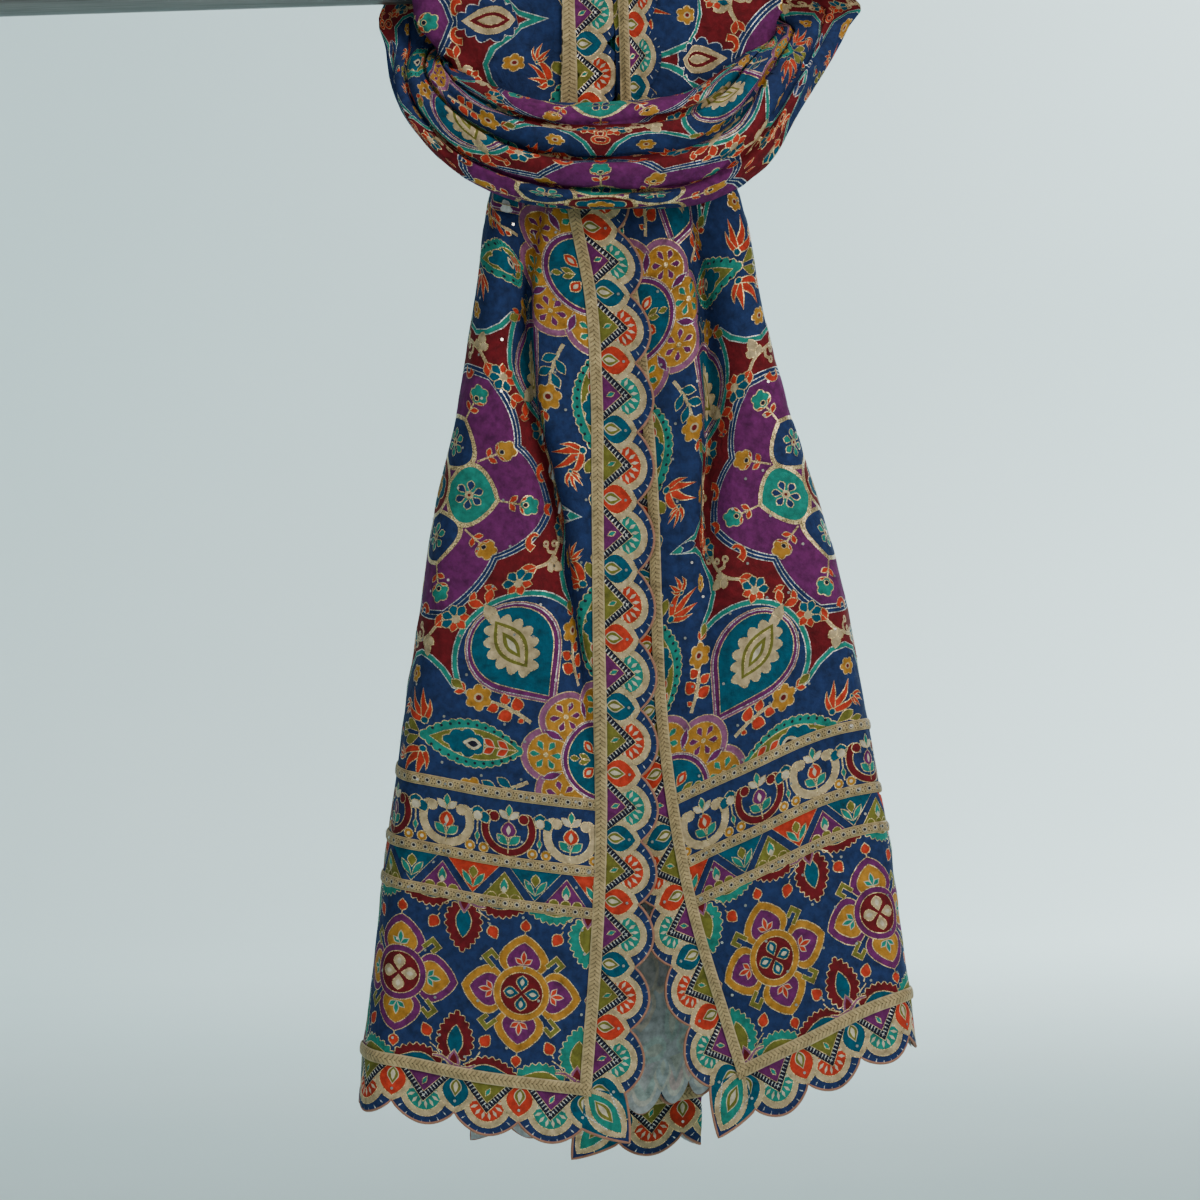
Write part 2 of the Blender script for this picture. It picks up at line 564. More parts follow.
def smooth_through(rows, s):
    """Smooth values through rows of numbers: s counts the rows."""
    rows = np.asarray(rows, dtype=float)
    i = np.clip(s.astype(int), 0, len(rows) - 2)
    t = (s - i)[:, None]
    before, a, b, after = (rows[np.clip(i + k, 0, len(rows) - 1)] for k in (-1, 0, 1, 2))
    return 0.5 * (2 * a + (b - before) * t + (2 * before - 5 * a + 4 * b - after) * t**2
                  + (3 * a - before - 3 * b + after) * t**3)


def trail(points, width, end):
    """Stroke of that width round a smooth line through the points, narrower at its end."""
    line = smooth_through(points, np.linspace(0, len(points) - 1, 5 * (len(points) - 1) + 1))
    way = np.gradient(line, axis=0)
    side = np.stack([way[:, 1], -way[:, 0]], axis=1) / (np.linalg.norm(way, axis=1, keepdims=True) + 1e-9)
    half = width / 2 * np.linspace(1.0, end, len(line))[:, None]
    return np.concatenate([line + side * half, (line - side * half)[::-1]])


def moved(shapes, x=0.0, y=0.0, turn=0.0, flip=False, size=1.0):
    """The shapes scaled, flipped over the x axis, turned and moved."""
    c, s = math.cos(turn), math.sin(turn)
    made = []
    for outline, dye, thread in shapes:
        place = outline * size * np.array([1, -1 if flip else 1])
        place = place @ np.array([[c, s], [-s, c]]) + (x, y)
        made.append((place[::-1] if flip else place, dye, thread))
    return made


# Motifs, each along +x from the origin.
def petal(dye, *sizes, thread="gold", **shape):
    """A leaf of those sizes as one shape of the print."""
    return leaf(*sizes, **shape), dye, thread


def spot(dye, *sizes, thread="gold"):
    """A circle of those sizes as one shape of the print."""
    return circle(*sizes), dye, thread


def stroke(dye, points, width, end):
    """A smooth stroke through the points, narrower towards its end, as one shape of the print."""
    return trail(points, width, end), dye, "gold"


def stalk(points, width):
    """A stroke of bare gold as one shape of the print."""
    return trail(points, width, 1), "gold", None


def box(dye, x_range, y_range):
    """An upright rectangle without stitches as one shape of the print."""
    (left, right), (low, high) = x_range, y_range
    return np.array([(left, low), (right, low), (right, high), (left, high)]), dye, None


def wedge(middle, half, base, tip):
    """Triangle with its base at one y and its tip at another, counted from the base's left."""
    return np.array([(middle - half, base), (middle, tip), (middle + half, base)])


def ringed(count, shapes):
    """Copies of the shapes, turned about the origin by equal steps."""
    made = []
    for k in range(count):
        made += moved(shapes, 0, 0, 2 * k * math.pi / count)
    return made


def set_out(shapes, reach, turn, lean=0.0):
    """The shapes moved out by reach towards turn, and turned with it."""
    return moved(shapes, reach * math.cos(turn), reach * math.sin(turn), turn + lean)


def star_flower(dye, radius, petals=6):
    """Round-petalled flower with a small dark eye in a pale ring."""
    return [(flower(0, 0, radius, petals, 0.36), dye, "gold"),
            spot("beige", 0, 0, radius * 0.36, 8, thread=None),
            spot("wine", 0, 0, radius * 0.22, 7, thread=None)]


def small_leaf(dye, length, width, thread="gold"):
    """Plain leaf, a little fuller towards its tip."""
    return [petal(dye, length, width, 0.55, points=5, thread=thread)]


def tulip(dye):
    """Sprig, 33 mm long: gold stem, two pairs of small petals, lobed flower at its end."""
    made = [stalk([(0, 0), (0.018, 0)], 0.0015)]
    for side in (1, -1):
        made += moved(small_leaf("orange", 0.0085, 0.0046), 0.0095, 0, side * 0.85)
        made += moved(small_leaf("orange", 0.0118, 0.0058), 0.0175, 0, side * 0.75)
    made += [(flower(0.0265, 0, 0.0082, 5, 0.34, math.pi), dye, "gold"), spot("ink", 0.0225, 0, 0.0022, 7)]
    return made


def bud(dye="orange", size=1.0):
    """Fat pointed bud on a short stalk."""
    return [stalk([(0, 0), (0.004 * size, 0)], 0.001),
            petal(dye, 0.0112 * size, 0.0092 * size, 0.42, 0.003 * size, points=6, power=0.8)]


def spray(leaves):
    """Beige stem, 73 mm with its leaf end: buds or teal leaves, a mustard flower, olive leaves."""
    made = [stroke("beige", [(0, 0), (0.012, 0.0025), (0.026, 0.003), (0.04, 0.001)], 0.0026, 0.7)]
    if leaves:
        for x, y, turn in ((0.01, 0.002, 0.85), (0.022, 0.003, 0.8), (0.014, 0.003, -0.85),
                           (0.026, 0.003, -0.75)):
            made += moved(small_leaf("teal", 0.0145, 0.0078), x, y, turn)
    else:
        for x, y, turn, size in ((0.01, 0.002, 0.85, 1.1), (0.022, 0.003, 0.85, 0.9),
                                 (0.014, 0.003, -0.8, 1.15), (0.027, 0.003, -0.8, 0.9),
                                 (0.005, 0.001, -0.9, 0.5)):
            made += moved(bud("orange", size), x, y, turn)
    made += moved(star_flower("mustard", 0.0112), 0.0465, 0)
    for turn in (0.55, -0.6):
        made += moved(small_leaf("orange", 0.009, 0.0048), 0.0585, 0, turn)
    return made + moved(small_leaf("olive", 0.012, 0.0072), 0.061, 0.001, 0.15)


def flame(points, width):
    """Curved leaf along a smooth line through the points, widest a third of its way."""
    rim = trail(points, 1.0, 1.0)
    half = len(rim) // 2
    line, side = (rim[:half] + rim[:half - 1:-1]) / 2, rim[:half] - rim[:half - 1:-1]
    reach = width / 2 * np.sin(math.pi * np.linspace(0.04, 1, half) ** 0.65)[:, None]
    return np.concatenate([line + side * reach, (line - side * reach)[::-1]])


def arabesque():
    """Orange palmette of four curling leaves from one point, 30 mm long."""
    lines = [([(0, 0), (0.009, 0.001), (0.019, 0.002), (0.03, 0.007)], 0.0064),
             ([(0.001, 0), (0.006, 0.006), (0.013, 0.01), (0.021, 0.0165)], 0.006),
             ([(0.001, 0), (0.008, -0.005), (0.016, -0.007), (0.024, -0.004)], 0.0056),
             ([(0, 0.001), (0.002, 0.006), (0.005, 0.011), (0.0105, 0.0155)], 0.0046)]
    made = [(flame(line, width), "orange", "gold") for line, width in lines]
    return made + [spot("teal", 0, 0, 0.003, 8)]


def teal_flower():
    """Teal petals over an orange cup, 22 mm across."""
    made = []
    for turn in (-2.1, 2.1, math.pi):
        made += moved(small_leaf("orange", 0.011, 0.007), 0, 0, turn)
    for turn in (-1.25, -0.42, 0.42, 1.25):
        made += moved([petal("teal", 0.0105, 0.0075, 0.62, 0.002, points=5, power=0.8)], 0, 0, turn)
    return made + [spot("beige", 0.0, 0, 0.0034, 8)]


def vine():
    """Beige stem with curls and buds, a drooping beige leaf and a pair of orange ones: 42 mm long."""
    made = [stroke("beige", [(0, 0), (0.006, -0.007), (0.016, -0.01), (0.027, -0.009), (0.036, -0.003)],
                   0.0027, 0.8),
            stroke("beige", [(0.016, -0.01), (0.019, -0.004), (0.016, 0.001)], 0.0022, 0.7)]
    for x, y in ((0.0035, -0.0105), (0.0105, -0.0045), (0.0155, 0.0025)):
        made += [spot("beige", x, y, 0.0029, 9), spot("wine", x, y, 0.0011, 6, thread=None)]
    for turn, long, wide in ((-1.65, 0.0165, 0.008), (-0.95, 0.0105, 0.0068), (-2.35, 0.0085, 0.006)):
        made += moved([petal("beige", long, wide, 0.55, points=6, power=0.8)], 0.0245, -0.0095, turn)
    for turn in (0.95, 0.15):
        made += moved(small_leaf("orange", 0.012, 0.0056), 0.0345, -0.0035, turn)
    return made


def comma():
    """Orange drop with a hooked end, 15 mm long."""
    return [stroke("orange", [(0, 0), (0.0035, 0.0045), (0.0095, 0.005), (0.0135, 0.001), (0.012, -0.003)],
                   0.0068, 0.35)]


def ring_curl():
    """Small orange ring with a tail."""
    return [stroke("orange", [(0.004, 0.003), (0.01, 0.006), (0.014, 0.002)], 0.003, 0.5),
            spot("orange", 0, 0, 0.0062, 14), spot("wine", 0, 0, 0.003, 9)]


def almond():
    """Leaf, 84 mm long: scalloped jade rim with eyelets round olive and a teal heart."""
    made = [(scalloped(leaf(0.084, 0.0385, 0.5, points=14, power=0.85), 28, 0.0016), "jade", "gold"),
            petal("olive", 0.072, 0.0255, 0.48, 0.004, points=12, power=0.9),
            stalk([(0.006, 0), (0.04, 0)], 0.0012),
            (scalloped(leaf(0.032, 0.02, 0.42, 0.032, points=8, power=0.7), 7, 0.0026), "teal", "gold"),
            petal("pale", 0.015, 0.0095, 0.45, 0.034, points=6),
            petal("ink", 0.009, 0.0055, 0.45, 0.0365, points=5, thread=None)]
    for x in (0.012, 0.023):
        for side in (1, -1):
            made += moved(small_leaf("orange", 0.011, 0.0062, "pale"), x, 0, side * 0.6)
    x = np.linspace(0.01, 0.074, 10)
    for at, half in zip(x, 0.0162 * np.sin(math.pi * x / 0.084) ** 0.85):
        made += [spot("ink", at, side * half, 0.0014, 5, thread=None) for side in (1, -1)]
    return made


def drop():
    """Teal drop with a purple rim round a serrated beige leaf, 92 mm long."""
    made = [(teardrop(0.098, 0.0388), "mauve", "gold"),
            (teardrop(0.093, 0.0368, 0.0035), "purple", "silver"),
            (teardrop(0.085, 0.033, 0.009), "teal", "gold"),
            petal("beige", 0.019, 0.01, 0.5, 0.085, points=6),
            (scalloped(leaf(0.054, 0.031, 0.5, 0.035, points=12, power=0.9), 13, 0.0056), "beige", "gold"),
            petal("olive", 0.048, 0.0245, 0.5, 0.039, points=10, thread=None),
            petal("beige", 0.04, 0.018, 0.5, 0.043, points=9),
            petal("olive", 0.027, 0.0105, 0.5, 0.049, points=7, thread=None),
            petal("pale", 0.016, 0.0048, 0.5, 0.054, points=5, thread=None)]
    for side in (1, -1):
        made += moved(small_leaf("orange", 0.0135, 0.0075), 0.103, 0.001 * side, side * 0.75)
    return made


def lobe_flower(dye):
    """Six separate drop petals round a point."""
    made = ringed(6, [petal(dye, 0.0092, 0.0055, 0.62, 0.004, points=5)])
    return made + [spot("gold", 0, 0, 0.0022, 7, thread=None)]


def rosette():
    """Eight mustard lobes, stitched mauve round, about a teal centre: 66 mm radius."""
    made, turns = [], [k * math.pi / 4 for k in range(8)]
    made += [spot("mauve", 0.044 * math.cos(turn), 0.044 * math.sin(turn), 0.024, 24) for turn in turns]
    made += [spot("mustard", 0.0435 * math.cos(turn), 0.0435 * math.sin(turn), 0.0188, 22)
             for turn in turns]
    for k, turn in enumerate(turns):
        made += set_out(lobe_flower("purple" if k % 2 else "jade"), 0.0475, turn)
        made += moved([petal("purple", 0.017, 0.0062, 0.5, 0.037, points=6, thread="silver")], 0, 0,
                      (k + 0.5) * math.pi / 4)
    made += [spot("mauve", 0, 0, 0.0352, 44), spot("purple", 0, 0, 0.0338, 44, thread="silver"),
             spot("teal", 0, 0, 0.0298, 40)]
    heart = [petal("orange", 0.013, 0.0085, 0.55, 0.0085, points=6, power=0.8),
             petal("pale", 0.0065, 0.0035, 0.5, 0.012, points=4, thread=None)]
    for turn in turns[::2]:
        made += moved(heart, 0, 0, turn + math.pi / 4)
        for side in (1, -1):
            made += set_out(small_leaf("olive", 0.011, 0.0052), 0.0095, turn, side * 0.35)
        made += set_out(small_leaf("olive", 0.0085, 0.005), 0.0195, turn)
    return made + [spot("mustard", 0, 0, 0.0048, 10), spot("ink", 0, 0, 0.002, 7, thread=None)]


def bracket_ring(radius):
    """Six-cornered outline: outward corners, and an inward cusp midway between them."""
    angle = np.linspace(0, 2 * math.pi, 6 * 16, endpoint=False)
    share = np.abs(np.mod(angle / (math.pi / 6) + 1, 2) - 1)
    reach = radius * (1 - 0.17 * share - 0.03 * share**3)
    return np.stack([reach * np.cos(angle), reach * np.sin(angle)], axis=1)


def medallion():
    """Purple ground, a gold net of six cells round a flower, twelve sprigs: 119 mm radius."""
    made = [(bracket_ring(0.119), "navy", "silver"), (bracket_ring(0.115), "navy", "silver"),
            (bracket_ring(0.1112), "purple", "silver")]
    for k in range(12):
        made += set_out(tulip("mustard" if k % 2 else "jade"), 0.056 if k % 2 else 0.069, k * math.pi / 6)
    made += ringed(6, [petal("gold", 0.051, 0.054, 0.5, 0.02, points=12, power=0.82, thread=None)])
    for k in range(6):
        dye, mark = ("navy", "jade") if k % 3 else ("jade", "navy")
        inner = [petal(dye, 0.044, 0.047, 0.5, 0.0235, points=12, power=0.8)]
        for spoke in range(6):
            inner += moved([petal(mark, 0.0088, 0.0062, 0.62, 0.0032, points=5, power=0.8)],
                           0.0455, 0, spoke * math.pi / 3 + 0.5)
        inner += [spot("beige", 0.0455, 0, 0.0032, 8), spot("wine", 0.0455, 0, 0.0014, 6, thread=None)]
        made += moved(inner, 0, 0, k * math.pi / 3)
    made += [spot("gold", 0, 0, 0.027, 28, thread=None), spot("wine", 0, 0, 0.0238, 28),
             (flower(0, 0, 0.019, 6, 0.35, 0.2), "teal", "gold"),
             (flower(0, 0, 0.0105, 6, 0.3), "mustard", "gold"),
             spot("ink", 0, 0, 0.0032, 8)]
    return made


def ogee_lobe():
    """Lobe along +x: a narrow waist, a round shoulder at 160 mm, then the pointed neck."""
    upper = np.array([(0.06, 0.03), (0.1, 0.036), (0.128, 0.043), (0.14, 0.055), (0.151, 0.062),
                      (0.163, 0.064), (0.175, 0.06), (0.185, 0.049), (0.192, 0.034), (0.197, 0.019),
                      (0.2015, 0.009), (0.212, 0.0045)])
    return np.concatenate([upper * (1, -1), upper[::-1]])


def lens():
    """Pointed beige ring with a red heart among serrated navy leaves, 46 mm long."""
    return [(scalloped(leaf(0.046, 0.03, 0.5, -0.023, points=12), 12, 0.0042), "navy", "silver"),
            petal("beige", 0.038, 0.023, 0.5, -0.019, points=11),
            petal("wine", 0.027, 0.014, 0.5, -0.0135, points=9), petal("beige", 0.016, 0.0075, 0.5, -0.008)]


def put(flip, motif, x, y, way, mirror=False, size=1.0):
    """The motif at (x, y), or its mirror image over the quarter cell's diagonal."""
    if flip:
        return moved(motif, y, x, math.pi / 2 - way, not mirror, size)
    return moved(motif, x, y, way, mirror, size)


def field_shapes(leaves, with_lens):
    """Print of the quarter cell: a rosette at (0, 0), a medallion at its far corner."""
    shapes, lobes = ["wine"], []
    for turn in (0, math.pi / 2):
        lobes += moved([(ogee_lobe(), None, None)], 0, 0, turn)
    lobes += [(circle(0.0765, 0.0765, 0.0525, 40), None, None), (circle(0, 0, 0.094, 60), None, None)]
    for grow, dye in ((0.0052, "silver"), (0.0044, "jade"), (0.0008, "silver"), (0.0, "navy")):
        shapes += [(thread_out(outline, grow), dye, None) for outline, _, _ in lobes]
    shapes += moved(medallion(), 0.205, 0.2)
    ground = [(vine(), 0.185, 0.079, 2.72, True), (teal_flower(), 0.137, 0.099, 0.6),
              (teal_flower(), 0.189, 0.072, 2.2, False, 0.85), (comma(), 0.166, 0.0985, 0.15, False, 0.9),
              (ring_curl(), 0.1985, 0.056, 1.2), (small_leaf("orange", 0.011, 0.0055), 0.129, 0.113, 1.5),
              (small_leaf("orange", 0.01, 0.005), 0.195, 0.088, 1.0),
              ([petal("navy", 0.017, 0.008, 0.5, thread="silver")], 0.1965, 0.022, 1.15)]
    lens_ground = [(vine(), 0.137, 0.104, -0.3), (teal_flower(), 0.152, 0.079, 2.4, False, 0.75),
                   (comma(), 0.183, 0.084, 0.4, False, 0.9),
                   (small_leaf("orange", 0.011, 0.0055), 0.118, 0.119, 1.6)]
    for flip in (False, True):
        for row in lens_ground if with_lens and flip else ground:
            shapes += put(flip, *row)
    shapes += moved(lens(), 0.064, 0.2) if with_lens else []
    shapes += moved(drop(), 0.044, 0.043, math.atan2(0.2, 0.205)) + rosette()
    rows = [(almond(), 0.0655, 0, 0), (spray(leaves), 0.061, 0.0255, 0.3),
            (arabesque(), 0.146, 0.012, 0.75),
            (arabesque(), 0.164, 0.022, -0.1, True, 0.55),
            ([petal("olive", 0.017, 0.0085, 0.62, power=0.8)], 0.149, 0.0015, 0.5),
            ([petal("olive", 0.014, 0.006, 0.55)], 0.16, 0.002, 0.12),
            (star_flower("mustard", 0.0078), 0.164, 0.048, 0)]
    if leaves:
        rows.append(([petal("teal", 0.015, 0.011, power=0.8), petal("orange", 0.0105, 0.0062, 0.45)],
                     0.1775, 0.0, 0.22))
    rows.append(([spot("navy", 0, 0, 0.0042, 10, thread="silver"),
                  spot("silver", 0, 0, 0.0016, 7, thread=None)],
                 0.2035, 0, 0))
    for flip in (False, True):
        for row in rows:
            shapes += put(flip, *row)
    return shapes


def dyed_cloth(name, roughness=(0.86, 0.36), weave=(1100, 0.45, 0.0005), mottle=(0.48, 1.55),
               pucker=0.0022):
    """Dyed cloth and gold thread: the attribute's colour, its fourth value the thread's share.

    Noise of a few millimetres mottles the dye, finer noise makes the thread glitter, and
    the bump has a fine weave over the puckers that the stitching draws the cloth into.
    """
    made, tree, shader = new_material(name)
    shader.inputs["Specular IOR Level"].default_value = 0.28
    where, dye = node(tree, "TexCoord"), node(tree, "Attribute")
    dye.attribute_name = "dye"
    uneven = node(tree, "TexNoise", Scale=150, Detail=6, Roughness=0.65)
    shade = node(tree, "MapRange", From_Min=0.25, From_Max=0.75, To_Min=mottle[0], To_Max=mottle[1])
    grain = node(tree, "TexNoise", Scale=weave[0], Detail=2)
    glint = node(tree, "MapRange", From_Min=0.36, From_Max=0.7, To_Min=0.3, To_Max=2.6)
    dull = node(tree, "MapRange", To_Min=1.0)
    both, shine, tone = node(tree, "Math"), node(tree, "Math"), node(tree, "VectorMath")
    both.operation = shine.operation = "MULTIPLY"
    tone.operation = "SCALE"
    shine.inputs[1].default_value = 0.65
    rough = node(tree, "MapRange", To_Min=roughness[0], To_Max=roughness[1])
    drawn = node(tree, "TexNoise", Scale=75, Detail=3, Distortion=0.8)
    puckers = node(tree, "Bump", Strength=0.8, Distance=pucker)
    bump = node(tree, "Bump", Strength=weave[1], Distance=weave[2])
    for source, out, target, socket in (
            (where, "Object", uneven, "Vector"), (where, "Object", grain, "Vector"),
            (where, "Object", drawn, "Vector"), (uneven, "Fac", shade, "Value"),
            (grain, "Fac", glint, "Value"), (glint, "Result", dull, "To Max"), (dye, "Alpha", dull, "Value"),
            (shade, "Result", both, 0), (dull, "Result", both, 1), (dye, "Color", tone, 0),
            (both, "Value", tone, "Scale"), (tone, "Vector", shader, "Base Color"),
            (dye, "Alpha", rough, "Value"), (rough, "Result", shader, "Roughness"),
            (dye, "Alpha", shine, 0), (shine, "Value", shader, "Metallic"),
            (drawn, "Fac", puckers, "Height"), (grain, "Fac", bump, "Height"),
            (puckers, "Normal", bump, "Normal"), (bump, "Normal", shader, "Normal")):
        tree.links.new(source.outputs[out], target.inputs[socket])
    return made


def dress(piece, nodes=()):
    """The piece hangs on the root body, takes its finish from the slot and stands for the nodes."""
    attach(piece, "root")
    if nodes:
        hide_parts(*nodes)
    return piece


def laid(end, name, patch, finish, nodes=(), height=lambda u, v: FACE_LIFT, inside=False, tuck=False):
    """A flat piece laid on one end, up to the band: height is how far above the middle of the wall."""
    flat, faces, dyes = patch
    flat[:, 1] = np.minimum(flat[:, 1], end.length_at(flat[:, 0], TAIL_TOP))

    def place(u, v):
        """Place on the end of a point of the flat piece."""
        return end.place(end.tucked(u, v) if tuck else u, v, height(u, v))

    return dress(cloth_piece(name, patch, place, finish, -end.side if inside else end.side), nodes)


printed_cloth = dyed_cloth("printed_cloth")
CELL_WIDE, CELL_HIGH = 0.205, 0.2
ROSETTE = (0.045, 0.295)
FACE_LIFT = CLOTH_WALL / 2
PANEL_TOP = TAPE_HEIGHTS[0]
field_prints = [field_shapes(leaves, with_lens)
                for leaves, with_lens in ((False, False), (True, False), (False, True), (True, True))]
field_cells = [dyed_patch(shapes, CELL_WIDE, CELL_HIGH, 0.01) for shapes in field_prints]


def unstitched(shapes, least=0.008):
    """The shapes larger than least, without their rows of stitches, for where the cloth is folded away."""
    return [shapes[0]] + [(outline, dye, None) for outline, dye, _ in shapes[1:]
                          if np.ptp(outline, axis=0).max() > least]


far_cells = [dyed_patch(unstitched(shapes), CELL_WIDE, CELL_HIGH, 0.01) for shapes in field_prints]

ends = {"left": left_end, "right": right_end}
for label, end in ends.items():
    flat, faces, dyes = tiled(field_cells, CELL_WIDE, CELL_HIGH, ROSETTE,
                              (FIELD_EDGE, CLOTH_WIDTH - FIELD_EDGE),
                              (float(np.interp(PANEL_TOP, *end.print_rows[::-1])), 0.95),
                              far_cell=far_cells)
    flat[:, 1] = np.maximum(np.interp(flat[:, 1], *end.print_rows), PANEL_TOP)
    laid(end, f"{label}_field_print", (flat, faces, dyes), printed_cloth,
                            [f"{label}_end_cloth"], tuck=True)

# ------------------------------------------------------------- hem panel
# The same cloth below the upper tape: a row of scroll cups, a row of triangles
# and a row of quatrefoils, printed to fit between the cross tapes.
PANEL_LOW, PANEL_PITCH = 0.04, 0.2


def quatrefoil(rim, bloom_dye, mark, core):
    """Four pointed petals round a dark red centre: 48 mm radius."""
    made = ringed(4, [petal(rim, 0.036, 0.04, 0.4, 0.0125, points=12, power=0.75)])
    hook = np.array([(0.03, -0.0055), (0.0425, -0.0055), (0.0425, 0.0055), (0.033, 0.0055), (0.033, 0.002),
                     (0.0385, 0.002), (0.0385, -0.002), (0.03, -0.002)])
    for k in range(4):
        bloom = [petal(bloom_dye, 0.027, 0.0275, 0.4, 0.015, points=10, power=0.75)]
        for turn, long in ((0.0, 0.011), (0.95, 0.0085), (-0.95, 0.0085)):
            bloom += moved(small_leaf(mark, long, 0.0042, "pale"), 0.0235, 0, turn)
        made += moved(bloom, 0, 0, k * math.pi / 2)
        made += moved([(hook, "olive", "gold")], 0, 0, (k + 0.5) * math.pi / 2)
    made += [spot(rim, 0, 0, 0.0225, 30), spot("wine", 0, 0, 0.0172, 26)]
    return made + ringed(4, [petal(core, 0.0125, 0.0095, 0.58, 0.002, points=7, power=0.8),
                             petal("pale", 0.006, 0.0036, 0.5, 0.006, points=4, thread=None)])


def hem_leaf(body, core):
    """Scalloped leaf along +x with a leaf at each side of its foot, along y."""
    made = []
    for side in (1, -1):
        wing = [(scalloped(leaf(0.04, 0.0215, 0.45, points=12, power=0.7), 17, 0.0022), body, "gold"),
                petal(core, 0.03, 0.011, 0.45, 0.004, points=9)]
        made += moved(wing, 0.0005, side * 0.01, side * math.pi / 2)
        made += moved([stalk([(0, 0), (0.01, 0.002), (0.018, 0.0)], 0.001)], 0.003, side * 0.008,
                      side * 0.8)
        made += moved(bud("orange", 1.05), 0.0175, side * 0.0195, side * 0.55)
    made += [(scalloped(leaf(0.04, 0.027, 0.42, 0.004, points=12, power=0.75), 17, 0.0024), body, "gold"),
             petal(core, 0.026, 0.013, 0.48, 0.008, points=9, power=0.8),
             petal("mauve", 0.018, 0.011, 0.45, -0.004, points=9),
             petal("wine", 0.013, 0.0065, 0.45, -0.002, points=8, thread=None)]
    for side in (1, -1):
        made += moved([stroke("mauve", [(0, 0), (0.01, 0.003), (0.018, 0.001)], 0.0032, 0.5)], 0.001, 0,
                      side * 1.35)
    return made


def scroll_cup(dye, flower_dye):
    """C-scroll, open upwards, 44 mm wide, with a sprig in it; its foot is at the origin."""
    angle = np.radians(np.linspace(-215, 35, 9))
    curve = np.stack([0.019 * np.cos(angle), 0.019 + 0.0185 * np.sin(angle)], axis=1)
    curve = np.concatenate([[(-0.0105, 0.0275)], curve, [(0.0105, 0.0275)]])
    made = [stroke(dye, curve, 0.006, 1.0)]
    for side in (1, -1):
        made.append(spot(dye, side * 0.0118, 0.0285, 0.0042, 10))
        made += moved(small_leaf("jade", 0.0125, 0.007), 0, 0.0065, math.pi / 2 - side * 0.85)
        made += moved(small_leaf("pale", 0.0105, 0.0052), 0, 0.027, math.pi / 2 - side * 0.85)
    made += [stalk([(0, 0), (0, 0.03)], 0.001)]
    made += moved([petal(flower_dye, 0.013, 0.012, 0.45, points=8, power=0.7),
                   petal("pale", 0.008, 0.0036, 0.5, 0.002, points=5, thread=None)], 0, 0.0125, math.pi / 2)
    return made + moved(small_leaf("jade", 0.01, 0.0052), 0, 0.029, math.pi / 2)


def cup_stem():
    """Teal trefoil on a stem between two cups, with mustard dots at its foot."""
    made = [stalk([(0, 0.006), (0, 0.026)], 0.0012)]
    for side in (1, -1):
        made += [spot("mustard", side * 0.0055, 0.0042, 0.004, 10),
                 spot("pale", side * 0.0055, 0.0042, 0.0016, 6, thread=None)]
    for turn in (0.35, 1.57, 2.79):
        made += moved([petal("teal", 0.0105, 0.0098, 0.6, points=7, power=0.8)], 0, 0.0265, turn)
    made += moved(small_leaf("jade", 0.0085, 0.004), 0, 0.0085, math.pi / 2)
    return made + [spot("pale", 0, 0.029, 0.0036, 9)]


def panel_shapes():
    """Print between the hem braid and the upper tape: x along the hem, y up from the seam."""
    shapes, tape = ["navy"], [height - PANEL_LOW for height in TAPE_HEIGHTS]
    low, high = tape[2] + 0.0045, tape[1] - 0.0045
    for k in range(-1, 3):
        at = 0.103 + 0.1 * k
        leaves = hem_leaf("wine", "teal") if k % 2 else hem_leaf("jade", "olive")
        shapes += moved(leaves, at - 0.05, tape[2], -math.pi / 2)
        shapes += moved(leaves, at - 0.05, 0.0095, math.pi / 2)
        kind = ("purple", "mustard", "jade", "beige") if k % 2 else ("mustard", "purple", "orange", "teal")
        shapes += moved(quatrefoil(*kind), at, 0.077)
        for y, way in ((0.1255, 1), (0.0285, -1)):
            shapes += moved(bud("orange", 0.9), at, y - way * 0.0005, way * math.pi / 2)
    shapes.append(box("navy", (-0.01, 0.21), (tape[2], tape[1])))
    for k in range(-1, 5):
        at = 0.097 + 0.05 * (k - 1)
        hanging = wedge(at, 0.0215, high + 0.001, low + 0.0002)
        shapes.append((hanging, "teal" if k % 2 else "orange", "gold"))
        for side in (1, -1):
            shapes += moved(small_leaf("jade", 0.0155, 0.0052), at, low + 0.0045, math.pi / 2 - side * 0.62)
        shapes += moved(small_leaf("olive", 0.0105, 0.0072), at, low + 0.0115, math.pi / 2)
        at += 0.025
        upright = wedge(at, 0.0175, low - 0.001, high - 0.004)[[0, 2, 1]]
        shapes.append((upright, "olive" if k % 2 else "purple", "gold"))
        shapes += [spot("olive", at + x, low - 0.0005, 0.0042, 10) for x in (-0.0095, 0, 0.0095)]
        shapes += moved([petal("jade", 0.0125, 0.0066, 0.45, points=6),
                         petal("pale", 0.006, 0.004, 0.5, points=4, thread=None)],
                        at, low + 0.0035, math.pi / 2)
    shapes.append(box("navy", (-0.01, 0.21), (tape[1], tape[0] + 0.01)))
    for k in range(-1, 5):
        at = 0.07 + 0.05 * (k - 1)
        kind = ("beige", "orange") if k % 2 else ("wine", "purple")
        shapes += moved(scroll_cup(*kind), at, tape[1] + 0.007)
        shapes += moved(cup_stem(), at + 0.025, tape[1] + 0.0045)
    return shapes


